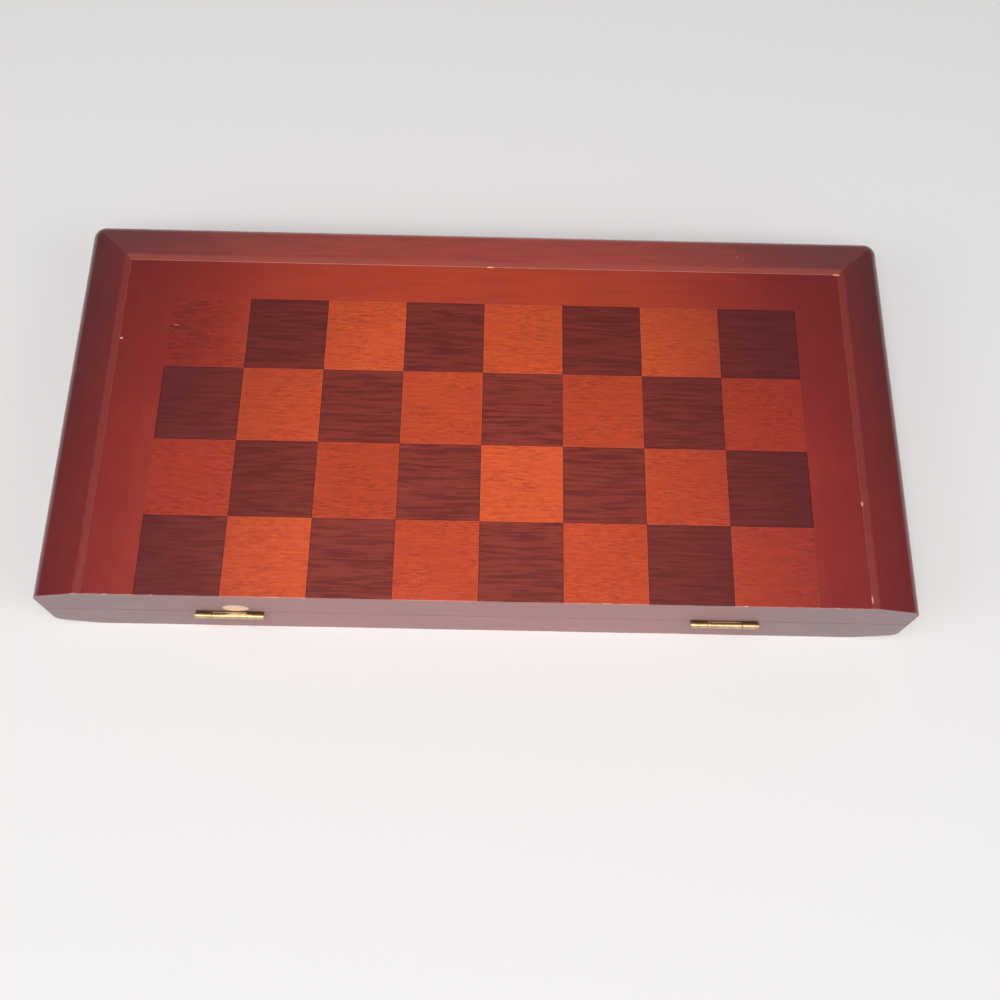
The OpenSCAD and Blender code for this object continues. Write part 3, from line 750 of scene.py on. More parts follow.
class Shop:
    def piece(self, name: str, shape: Solid, *materials: Material,
              sharp: float = SHARP_ANGLE) -> Piece:
        """Turns a mesh into an object at the origin.

        Args:
            name: the piece's name.
            shape: its mesh, which is freed.
            materials: its materials, in slot order.
            sharp: angle over which an edge stays sharp.

        Returns:
            The new object.
        """
        mesh = bpy.data.meshes.new(name)
        shape.to_mesh(mesh)
        shape.free()
        mesh.shade_smooth()
        mesh.set_sharp_from_angle(angle=sharp)
        for material in materials:
            mesh.materials.append(material)
        made = bpy.data.objects.new(name, mesh)
        bpy.context.scene.collection.objects.link(made)
        return made

    def bake(self, made: Piece, sharp: float = SHARP_ANGLE) -> Piece:
        """Bakes an object's modifiers and marks its sharp edges again.

        Args:
            made: the object.
            sharp: angle over which an edge stays sharp.

        Returns:
            The same object, without modifiers.
        """
        self._apply(made)
        made.data.shade_smooth()
        made.data.set_sharp_from_angle(angle=sharp)
        return made

    def _apply(self, made: Piece) -> None:
        """Puts the result of an object's modifiers in place of its mesh.

        Args:
            made: the object, which loses its modifiers.
        """
        graph = bpy.context.evaluated_depsgraph_get()
        result = bpy.data.meshes.new_from_object(
            made.evaluated_get(graph), preserve_all_data_layers=True, depsgraph=graph)
        made.modifiers.clear()
        old = made.data
        made.data = result
        bpy.data.meshes.remove(old)

    def hand_over(self, made: Piece, body: str, slot: str, *nodes: str) -> Piece:
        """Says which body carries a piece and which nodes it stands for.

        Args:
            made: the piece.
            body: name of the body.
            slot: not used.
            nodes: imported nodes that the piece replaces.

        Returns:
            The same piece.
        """
        level = made.modifiers.new("flat_faces_flat", "WEIGHTED_NORMAL")
        level.keep_sharp = True
        self._apply(made)
        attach(made, body)
        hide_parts(*nodes)
        LOG.info("%s rides on %s and stands for %s", made.name, body, ", ".join(nodes))
        return made

    def joined(self, node: str) -> Solid:
        """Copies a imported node's mesh and joins its corners.

        Args:
            node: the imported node.

        Returns:
            The copy.
        """
        shape = bmesh.new()
        shape.from_mesh(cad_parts[node].data)
        bmesh.ops.remove_doubles(shape, verts=shape.verts[:], dist=MERGE)
        return shape

    def plain(self, node: str, material: Material, body: str, slot: str) -> Piece:
        """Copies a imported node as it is, for inlaid veneer whose edges are cut sharp."""
        made = self.piece(f"{node}_finished", self.joined(node), material)
        return self.hand_over(made, body, slot, node)

    def softened(self, node: str, material: Material, body: str, slot: str,
                 edge: float = 0.15 * MM) -> Piece:
        """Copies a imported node, makes its flat faces whole and breaks its sharp edges.

        Args:
            node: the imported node.
            material: its finish.
            body: name of the body.
            slot: the record's material slot.
            edge: width of the broken edge.

        Returns:
            The piece that stands for the node.
        """
        shape = self.joined(node)
        bmesh.ops.dissolve_limit(shape, angle_limit=FLAT_ANGLE, verts=shape.verts[:],
                                 edges=shape.edges[:])
        made = self.piece(f"{node}_finished", shape, material)
        bevel = made.modifiers.new("broken_edges", "BEVEL")
        bevel.width = edge
        bevel.segments = 2
        bevel.limit_method = "ANGLE"
        bevel.angle_limit = SHARP_ANGLE
        bevel.use_clamp_overlap = True
        self.bake(made, BROKEN_ANGLE)
        return self.hand_over(made, body, slot, node)

    def centres(self, node: str) -> list[Vector]:
        """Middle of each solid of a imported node.

        Args:
            node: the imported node.

        Returns:
            The middles of the solids' boxes.
        """
        shape = self.joined(node)
        seen: set[bmesh.types.BMVert] = set()
        found: list[Vector] = []
        for start in shape.verts:
            if start in seen:
                continue
            seen.add(start)
            island, queue = [], [start]
            while queue:
                vert = queue.pop()
                island.append(vert.co.copy())
                near = {edge.other_vert(vert) for edge in vert.link_edges} - seen
                seen |= near
                queue.extend(near)
            low, high = (Vector(pick(co[i] for co in island) for i in range(3))
                         for pick in (min, max))
            found.append((low + high) / 2)
        shape.free()
        return found

    def cut(self, made: Piece, cutter: Piece) -> Piece:
        """Takes one solid out of another and removes the cutter.

        Args:
            made: the solid that stays.
            cutter: the solid that is taken out of it.

        Returns:
            The cut solid.
        """
        knife = made.modifiers.new("cut", "BOOLEAN")
        knife.operation = "DIFFERENCE"
        knife.solver = "EXACT"
        knife.material_mode = "TRANSFER"
        knife.object = cutter
        self.bake(made)
        bpy.data.objects.remove(cutter)
        return made

    def taken(self, made: Piece) -> Solid:
        """Takes the mesh out of an object and removes the object.

        Args:
            made: the object.

        Returns:
            Its mesh.
        """
        shape = bmesh.new()
        shape.from_mesh(made.data)
        bpy.data.objects.remove(made)
        return shape


def box_shape(low: Place, high: Place) -> Solid:
    """A block between two corners.

    Args:
        low: lowest corner.
        high: highest corner.

    Returns:
        The block's mesh.
    """
    shape = bmesh.new()
    size = [b - a for a, b in zip(low, high)]
    middle = [(a + b) / 2 for a, b in zip(low, high)]
    matrix = Matrix.Translation(middle) @ Matrix.Diagonal((*size, 1.0))
    bmesh.ops.create_cube(shape, size=1.0, matrix=matrix)
    return shape


def prism(outline: Sequence[tuple[float, float]], low: float, high: float,
          shape: Solid | None = None) -> Solid:
    """Raises a flat outline to a solid.

    Args:
        outline: corners on the plan, anticlockwise.
        low: height of the underside.
        high: height of the top.
        shape: a mesh to add to, or nothing for a new one.

    Returns:
        The mesh with the new solid.
    """
    shape = shape or bmesh.new()
    bottom = [shape.verts.new((x, y, low)) for x, y in outline]
    top = [shape.verts.new((x, y, high)) for x, y in outline]
    shape.faces.new(reversed(bottom))
    shape.faces.new(top)
    count = len(outline)
    for i in range(count):
        j = (i + 1) % count
        shape.faces.new((bottom[i], bottom[j], top[j], top[i]))
    return shape


def break_edges(shape: Solid, width: float, segments: int = 2) -> Solid:
    """Rounds every sharp edge of a mesh.

    Args:
        shape: the mesh.
        width: width of the rounding.
        segments: steps of the rounding.

    Returns:
        The same mesh.
    """
    shape.normal_update()
    sharp = [edge for edge in shape.edges
             if len(edge.link_faces) == 2 and edge.calc_face_angle() > SHARP_ANGLE]
    bmesh.ops.bevel(shape, geom=sharp, offset=width, segments=segments, profile=0.5,
                    affect="EDGES", clamp_overlap=True)
    return shape


def turned(profile: Profile, steps: int = TURNING_STEPS, squash: float = 1.0) -> Solid:
    """Turns a profile about the upright axis.

    Args:
        profile: radius and height of each point, from the axis round to the axis again.
        steps: sides of the turning.
        squash: share of the width that is left across Y.

    Returns:
        The closed solid's mesh.
    """
    shape = bmesh.new()
    rings: list[list[bmesh.types.BMVert]] = []
    angles = [math.tau * i / steps for i in range(steps)]
    for radius, height in profile:
        places = [(radius * math.cos(angle), squash * radius * math.sin(angle), height)
                  for angle in angles]
        rings.append([shape.verts.new(place) for place in (places if radius else places[:1])])
    for lower, upper in zip(rings, rings[1:]):
        for i in range(steps):
            j = (i + 1) % steps
            corners = (lower[i % len(lower)], lower[j % len(lower)],
                       upper[j % len(upper)], upper[i % len(upper)])
            kept = list(dict.fromkeys(corners))
            if len(kept) > 2:
                shape.faces.new(kept)
    bmesh.ops.recalc_face_normals(shape, faces=shape.faces[:])
    return shape


class Spread:
    """Geometry Nodes tree that lays copies of its own mesh in rows, all or every other one."""

    INPUTS = (
        ("Geometry", "NodeSocketGeometry", None),
        ("Count", "NodeSocketInt", 1),
        ("First", "NodeSocketInt", 0),
        ("Run", "NodeSocketInt", 1),
        ("Origin", "NodeSocketVector", (0.0, 0.0, 0.0)),
        ("Step in a run", "NodeSocketVector", (0.0, 0.0, 0.0)),
        ("Step between runs", "NodeSocketVector", (0.0, 0.0, 0.0)),
        ("Turn between runs", "NodeSocketFloat", 0.0),
        ("Parity", "NodeSocketInt", -1),
        ("Seed", "NodeSocketInt", 0),
        ("Material", "NodeSocketMaterial", None),
    )
    TONES = {"Min": -1.0, "Max": 1.0}

    def __init__(self) -> None:
        """Builds the tree."""
        self.tree = bpy.data.node_groups.new("laid_in_rows", "GeometryNodeTree")
        bench = Bench(self.tree)
        panel = self.tree.interface
        panel.new_socket("Geometry", in_out="OUTPUT", socket_type="NodeSocketGeometry")
        for name, kind, value in self.INPUTS:
            socket = panel.new_socket(name, in_out="INPUT", socket_type=kind)
            if value is not None:
                socket.default_value = value
        given = bench.add("NodeGroupInput").outputs
        index = bench.plus(bench.add("GeometryNodeInputIndex").outputs[0], given["First"])
        in_run = bench.math("MODULO", index, given["Run"])
        run = bench.math("FLOOR", bench.math("DIVIDE", bench.plus(index, 0.01), given["Run"]))
        place = given["Origin"]
        for step, times in (("Step in a run", in_run), ("Step between runs", run)):
            place = bench.vector("ADD", place, bench.vector("SCALE", given[step], times))
        points = bench.add("GeometryNodePoints", {"Count": given["Count"], "Position": place})
        odd = bench.math("MODULO", bench.plus(in_run, run), 2.0)
        apart = bench.math("ABSOLUTE", bench.less(odd, given["Parity"]))
        differs = bench.math("GREATER_THAN", apart, 0.5)
        chosen = bench.math("GREATER_THAN", given["Parity"], -0.5)
        keep = bench.less(1.0, bench.times(differs, chosen))
        chance = bench.add("FunctionNodeRandomValue", {"ID": index, "Seed": given["Seed"]},
                           data_type="FLOAT")
        for socket in chance.inputs:
            if socket.enabled and socket.name in self.TONES:
                socket.default_value = self.TONES[socket.name]
        tone = next(socket for socket in chance.outputs if socket.enabled)
        toned = bench.add("GeometryNodeStoreNamedAttribute",
                          {"Geometry": points.outputs[0], "Name": "tone", "Value": tone},
                          data_type="FLOAT", domain="POINT")
        turn = bench.join(0.0, 0.0, bench.times(run, given["Turn between runs"]))
        turned_by = bench.add("FunctionNodeEulerToRotation", {0: turn})
        laid = bench.add("GeometryNodeInstanceOnPoints",
                         {"Points": toned.outputs[0], "Selection": keep,
                          "Instance": given["Geometry"], "Rotation": turned_by.outputs[0]})
        real = bench.add("GeometryNodeRealizeInstances", {"Geometry": laid.outputs[0]})
        dressed = bench.add("GeometryNodeSetMaterial",
                            {"Geometry": real.outputs[0], "Material": given["Material"]})
        bench.add("NodeGroupOutput", {0: dressed.outputs[0]})

    def lay(self, shop: Shop, name: str, shape: Solid, material: Material,
            **values: object) -> Piece:
        """Lays copies of a mesh.

        Args:
            shop: makes the piece.
            name: the piece's name.
            shape: mesh of one copy, at the origin.
            material: finish of every copy.
            values: the tree's inputs by name, with an underscore for a space.

        Returns:
            The piece, as a plain mesh.
        """
        made = shop.piece(name, shape)
        rows = made.modifiers.new("laid_in_rows", "NODES")
        rows.node_group = self.tree
        wanted = {key.replace("_", " "): value for key, value in values.items()}
        wanted["Material"] = material
        for item in self.tree.interface.items_tree:
            if item.in_out == "INPUT" and item.name in wanted:
                rows[item.identifier] = wanted[item.name]
        made.update_tag()
        return shop.bake(made)


@dataclass
class MouldedRails:
    """The three moulded rails of each tray, mitred at the back corners."""

    shop: Shop
    sizes: CaseSizes
    finishes: dict[str, Material]
    lip_w: float = 3.0 * MM
    slope: float = math.radians(15)
    blend: float = 0.7 * MM
    edge_r: float = 5.0 * MM
    corner_r: float = 6.5 * MM
    arris: float = 0.4 * MM
    end_round: float = 0.12 * MM
    end_steps: int = 3
    slope_steps: int = 6
    mitre_steps: int = 7
    mitre_from: float = -6 * MM
    magnet_r: float = 4.05 * MM
    magnet_steps: int = 48

    def section(self) -> Profile:
        """Outline of the moulding.

        Returns:
            Distance out from the panel's edge and height from the tray's outer face, in order.
        """
        s, a, steep = self.sizes, self.arris, math.tan(self.slope)
        width, top = s.rail_w, s.tray_h
        turn_x = width - self.edge_r
        turn_z = (turn_x - self.lip_w) * steep + self.edge_r / math.cos(self.slope)

        def arc(x: float, z: float, radius: float, start: float, end: float, steps: int) -> Profile:
            """Points of an arc, by the angles of its ends in degrees."""
            angles = [math.radians(start + (end - start) * i / steps) for i in range(steps + 1)]
            return [(x + radius * math.cos(turn), z + radius * math.sin(turn)) for turn in angles]

        blend_end = self.lip_w + self.blend
        points = arc(a, a, a, 180, 270, 4)
        points += [(self.lip_w - self.blend, 0.0), (self.lip_w, self.blend * steep / 4),
                   (blend_end, self.blend * steep)]
        end_x = turn_x + self.edge_r * math.sin(self.slope)
        for i in range(1, self.slope_steps):
            x = blend_end + (end_x - blend_end) * i / self.slope_steps
            if abs(x - self.corner) < 2 * self.blend:
                x = self.corner
            points.append((x, (x - self.lip_w) * steep))
        points += arc(turn_x, turn_z, self.edge_r, math.degrees(self.slope) - 90, 0, 14)
        points += arc(width - a, top - a, a, 0, 90, 4)
        points.append((self.corner, top))
        points += arc(a - s.ledge_w, top - a, a, 90, 180, 4)
        return points + [(-s.ledge_w, s.field_top), (0.0, s.field_top)]

    def inset(self, points: Profile, depth: float) -> Profile:
        """Draws an outline in by the same depth all round.

        Args:
            points: the outline, anticlockwise.
            depth: how far it goes in.

        Returns:
            The smaller outline.
        """
        moved: Profile = []
        for i, (x, z) in enumerate(points):
            before = Vector(points[i]) - Vector(points[i - 1])
            after = Vector(points[(i + 1) % len(points)]) - Vector(points[i])
            first, second = (Vector((run.y, -run.x)).normalized() for run in (before, after))
            normal = first + second
            normal /= max(normal.length_squared / 2, 0.3)
            moved.append((x - normal.x * depth, z - normal.y * depth))
        return moved

    @property
    def corner(self) -> float:
        """Distance from the panel's edge to the middle that the back corner is turned about."""
        return self.sizes.rail_w - self.corner_r

    def station(self, out: float, past: float, turn: float) -> tuple[float, float]:
        """Place on the plan of one point of the section, near a mitred end.

        Args:
            out: distance of the point from the panel's edge in the section.
            past: how far the station lies past the panel's corner, before the turn starts.
            turn: angle round the corner's middle, 0 before the turn.

        Returns:
            Distance out from the panel's edge, and distance past the panel's corner.
        """
        if out <= self.corner + 1e-9:
            return out, min(past, out)
        arm = out - self.corner
        if turn == 0.0:
            return out, past
        return self.corner + arm * math.cos(turn), self.corner + arm * math.sin(turn)

    def mitred_end(self) -> list[tuple[float, float]]:
        """Stations along a rail near its mitre: distance past the panel's corner, and turn."""
        turns = [math.radians(45) * i / self.mitre_steps for i in range(self.mitre_steps + 1)]
        return [(self.mitre_from, 0.0)] + [(self.corner, turn) for turn in turns]

    def rail_shape(self, tray: Tray, part: str) -> Solid:
        """Sweeps the section along one rail.

        Args:
            tray: the tray.
            part: left_rail, right_rail or back_rail.

        Returns:
            The closed mesh.
        """
        s = self.sizes
        outline = self.section()
        across = part == "back_rail"
        corner = s.inner_x if across else s.inner_y
        side = -1 if part == "left_rail" else 1
        shape = bmesh.new()

        def ring(past: float, turn: float, far: float) -> list[Place]:
            """One station: far is 1 at the end that is mitred and -1 at a back rail's other end."""
            flat = [(*self.station(out, past, turn), z) for out, z in outline]
            return [(width, far * (corner + along), z) for width, along, z in flat]

        def placed(out: float, along: float, z: float) -> Place:
            """One corner of a station, in the frame of the case."""
            z = s.lift(tray, z)
            return (along, s.inner_y + out, z) if across else (side * (s.inner_x + out), along, z)

        if across:
            rings = [ring(past, turn, -1.0) for past, turn in reversed(self.mitred_end())]
        else:
            rings = []
            for i in range(self.end_steps, -1, -1):
                angle = math.radians(90 * i / self.end_steps)
                along = s.front + self.end_round * (1 - math.sin(angle))
                points = self.inset(outline, self.end_round * (1 - math.cos(angle)))
                rings.append([(out, along, z) for out, z in points])
        rings += [ring(past, turn, 1.0) for past, turn in self.mitred_end()]
        grid = [[shape.verts.new(placed(*corner)) for corner in row] for row in rings]
        for lower, upper in zip(grid, grid[1:]):
            for i, vert in enumerate(lower):
                j = (i + 1) % len(lower)
                shape.faces.new((vert, lower[j], upper[j], upper[i]))
        first_end = shape.faces.new(grid[0])
        first_end.material_index = 0 if across else 1
        shape.faces.new(reversed(grid[-1]))
        bmesh.ops.remove_doubles(shape, verts=shape.verts[:], dist=MERGE)
        bmesh.ops.recalc_face_normals(shape, faces=shape.faces[:])
        return shape

    def build(self, tray: Tray) -> None:
        """Makes the three moulded rails of a tray.

        Args:
            tray: the tray.
        """
        for part in ("left_rail", "right_rail", "back_rail"):
            wood = self.finishes[part]
            made = self.shop.piece(f"{tray.value}_{part}_moulding", self.rail_shape(tray, part),
                                   wood, self.finishes["front_end"])
            if part == "back_rail":
                self.shop.cut(made, self.magnet_seats(tray, wood))
            self.shop.hand_over(made, tray.value, "frame_wood", tray.node(part))

    def magnet_seats(self, tray: Tray, material: Material) -> Piece:
        """Cutter for the two blind seats in a back rail's rim.

        Args:
            tray: the tray.
            material: finish of the seats' walls.

        Returns:
            The cutter.
        """
        low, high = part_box(tray.node("magnets"))
        past = 1 * MM
        floor, ceiling = (low.z, high.z + past) if tray is Tray.BASE else (low.z - past, high.z)
        shape = bmesh.new()
        radius, y = self.magnet_r, (low.y + high.y) / 2
        angles = [math.tau * i / self.magnet_steps for i in range(self.magnet_steps)]
        for x in (low.x + radius, high.x - radius):
            prism([(x + radius * math.cos(turn), y + radius * math.sin(turn)) for turn in angles],
                  floor, ceiling, shape)
        return self.shop.piece("magnet_cutter", shape, material)


@dataclass
class ChequeredPanel:
    """Outer veneers of a tray: chequers and border, with the bare core behind them."""

    shop: Shop
    sizes: CaseSizes
    spread: Spread
    light: Material
    dark: Material
    side_border: Material
    back_border: Material
    core: Material
    broken: float = 0.05 * MM
    strip_broken: float = 0.02 * MM
    light_seed: int = 56957
    dark_seed: int = 17973

    def tile(self, tray: Tray) -> Solid:
        """One square of veneer.

        Args:
            tray: the tray that it is laid on.

        Returns:
            The square's mesh, with its middle on the origin of the plan.
        """
        s = self.sizes
        half = (s.square - s.kerf) / 2
        low, high = sorted((s.lift(tray, 0.0), s.lift(tray, s.veneer_t)))
        return break_edges(box_shape((-half, -half, low), (half, half, high)), self.broken, 1)

    def build(self, tray: Tray, first_light: bool) -> None:
        """Lays the chequers and the border of a tray.

        Args:
            tray: the tray.
            first_light: whether the square at the left of the back row is light.
        """
        s = self.sizes
        origin = (s.square / 2 - s.board_half, s.board_back - s.square / 2, 0.0)
        for part, material, slot, seed, parity in (
            ("light_squares", self.light, "light_veneer", self.light_seed, int(not first_light)),
            ("dark_squares", self.dark, "dark_veneer", self.dark_seed, int(first_light)),
        ):
            made = self.spread.lay(
                self.shop, f"{tray.value}_{part}_veneer", self.tile(tray), material,
                Count=s.columns * s.rows, Run=s.columns, Origin=origin,
                Step_in_a_run=(s.square, 0.0, 0.0), Step_between_runs=(0.0, -s.square, 0.0),
                Parity=parity, Seed=seed)
            self.shop.hand_over(made, tray.value, slot, tray.node(part))
        self._border(tray)
        self.shop.softened(tray.node("panel_core"), self.core, tray.value, "core_plywood")

    def _border(self, tray: Tray) -> None:
        """Lays the three strips of the border, which meet in mitres.

        Args:
            tray: the tray.
        """
        s = self.sizes
        low, high = sorted((s.lift(tray, 0.0), s.lift(tray, s.veneer_t)))
        edge_x, edge_y = s.board_half + s.kerf / 2, s.board_back + s.kerf / 2
        right = [(edge_x, s.front), (s.inner_x, s.front), (s.inner_x, s.inner_y - s.kerf),
                 (edge_x, edge_y - s.kerf)]
        left = [(-x, y) for x, y in reversed(right)]
        shape = prism(right, low, high)
        prism(left, low, high, shape)
        back = [(-edge_x + s.kerf, edge_y), (edge_x - s.kerf, edge_y),
                (s.inner_x - s.kerf, s.inner_y), (s.kerf - s.inner_x, s.inner_y)]
        sides = len(shape.faces)
        prism(back, low, high, shape)
        shape.faces.ensure_lookup_table()
        for index, face in enumerate(shape.faces):
            face.material_index = int(index >= sides)
        break_edges(shape, self.strip_broken, 1)
        made = self.shop.piece(f"{tray.value}_border_strips", shape, self.side_border,
                               self.back_border)
        self.shop.hand_over(made, tray.value, "border_veneer", tray.node("border"))


@dataclass
class PlayingField:
    """Backgammon field inside a tray, its hinge rail and its magnets."""

    shop: Shop
    sizes: CaseSizes
    spread: Spread
    ground: Material
    light: Material
    dark: Material
    rail: Material
    steel: Material
    points_per_side: int = 6
    point_len: float = 132 * MM
    point_tip: float = 0.8 * MM
    tone_seed: int = 5
    rail_edge: float = 0.12 * MM
    magnet_edge: float = 0.25 * MM

    @property
    def pitch(self) -> float:
        """Width of a point's base, with its share of the kerf."""
        return (self.sizes.well_back - self.sizes.well_front) / self.points_per_side

    def point(self, tray: Tray) -> Solid:
        """One inlaid point with its base on the right-hand wall.

        Args:
            tray: the tray that it is let into.

        Returns:
            The point's mesh, with its middle line on the X axis.
        """
        s = self.sizes
        base, tip = self.pitch / 2 - s.kerf, self.point_tip / 2
        low, high = sorted((s.lift(tray, s.field_top - s.field_t), s.lift(tray, s.field_top)))
        end = s.well_x - self.point_len
        return prism([(s.well_x, -base), (s.well_x, base), (end, tip), (end, -tip)], low, high)

    def build(self, tray: Tray, light_parity: int) -> None:
        """Finishes the inside of a tray.

        Args:
            tray: the tray.
            light_parity: 0 where the point next to the hinge at the right is light, or else 1.
        """
        self.shop.plain(tray.node("field"), self.ground, tray.value, "field_veneer")
        for part, material, slot, parity in (
            ("light_points", self.light, "light_veneer", light_parity),
            ("dark_points", self.dark, "dark_veneer", 1 - light_parity),
        ):
            made = self.spread.lay(
                self.shop, f"{tray.value}_{part}_inlay", self.point(tray), material,
                Count=2 * self.points_per_side, Run=self.points_per_side,
                Origin=(0.0, self.sizes.well_front + self.pitch / 2, 0.0),
                Step_in_a_run=(0.0, self.pitch, 0.0), Turn_between_runs=math.pi, Parity=parity,
                Seed=self.tone_seed)
            self.shop.hand_over(made, tray.value, slot, tray.node(part))
        for part, material, slot, edge in (
            ("hinge_rail", self.rail, "frame_wood", self.rail_edge),
            ("magnets", self.steel, "magnet_steel", self.magnet_edge),
        ):
            self.shop.softened(tray.node(part), material, tray.value, slot, edge)


@dataclass
class Hinges:
    """The two brass hinges, their screws and the foil seal over the left one."""

    shop: Shop
    sizes: CaseSizes
    spread: Spread
    brass: Material
    gold: Material
    broken: float = 0.08 * MM
    head_r: float = 1.8 * MM
    shank_r: float = 0.9 * MM
    root_r: float = 0.7 * MM
    length: float = 9.0 * MM
    tip_len: float = 1.4 * MM
    thread_gap: float = 0.6 * MM
    thread_turns: int = 6
    slot_w: float = 0.5 * MM
    slot_d: float = 0.45 * MM

    def screw(self, tray: Tray) -> Solid:
        """A countersunk screw with a thread and a straight slot, its head flush with the rim.

        Args:
            tray: the tray that it is driven into.

        Returns:
            The screw's mesh, with its axis on the origin of the plan.
        """
        head_h = self.head_r - self.shank_r
        profile: Profile = [(0.0, 0.0), (self.head_r - 0.1 * MM, 0.0), (self.head_r, -0.05 * MM),
                            (self.shank_r, -head_h)]
        start, end = -head_h - self.thread_gap, self.tip_len - self.length
        step = (end - start) / self.thread_turns
        for i in range(self.thread_turns):
            z = start + step * i
            profile += [(self.root_r, z), (self.shank_r, z + step * 0.35),
                        (self.root_r, z + step * 0.7)]
        profile += [(self.root_r, end), (0.0, -self.length)]
        body = self.shop.piece("screw_blank", turned(profile, 32), self.brass)
        slot = (2 * self.head_r, self.slot_w / 2, self.slot_d)
        knife = box_shape(tuple(-reach for reach in slot), slot)
        self.shop.cut(body, self.shop.piece("slot_cutter", knife, self.brass))
        shape = self.shop.taken(body)
        rim = Matrix.Translation((0.0, 0.0, self.sizes.lift(tray, self.sizes.tray_h)))
        over = Matrix.Rotation(0.0 if tray is Tray.BASE else math.pi, 4, "X")
        bmesh.ops.transform(shape, matrix=rim @ over, verts=shape.verts[:])
        return shape

    def build(self) -> None:
        """Makes both hinges and their screws."""
        for side in ("left", "right"):
            for part, body in (("lower_leaf", "base"), ("upper_leaf", "lid"), ("pin", "base")):
                self.shop.softened(f"{side}_hinge_{part}", self.brass, body, "hinge_brass",
                                   self.broken)
        for tray, node in ((Tray.BASE, "lower_hinge_screws"), (Tray.LID, "upper_hinge_screws")):
            places = sorted(self.shop.centres(node), key=lambda place: place.x)
            made = self.spread.lay(
                self.shop, f"{node}_driven", self.screw(tray), self.brass,
                Count=4, Run=2, Origin=(places[0].x, places[0].y, 0.0),
                Step_in_a_run=(places[1].x - places[0].x, 0.0, 0.0),
                Step_between_runs=(places[2].x - places[0].x, 0.0, 0.0))
            self.shop.hand_over(made, tray.value, "hinge_brass", node)
        self._seal()

    def _seal(self) -> None:
        """Makes the oval foil with a plain raised rim."""
        low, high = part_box("gold_seal")
        half_w, half_h = (high.x - low.x) / 2, (high.z - low.z) / 2
        thick = high.y - low.y
        shares = ((0.0, 0.0), (1.0, 0.0), (1.0, 0.35), (0.985, 0.6), (0.93, 0.6), (0.9, 1.0),
                  (0.84, 1.0), (0.81, 0.55), (0.5, 0.62), (0.0, 0.7))
        profile = [(half_w * out, thick * up) for out, up in shares]
        shape = turned(profile, 96, half_h / half_w)
        middle = (low + high) / 2
        place = Matrix.Translation((middle.x, high.y, middle.z))
        upright = Matrix.Rotation(math.pi / 2, 4, "X")
        bmesh.ops.transform(shape, matrix=place @ upright, verts=shape.verts[:])
        made = self.shop.piece("gold_seal_foil", shape, self.gold, sharp=math.radians(60))
        self.shop.hand_over(made, "lid", "gold_foil", "gold_seal")


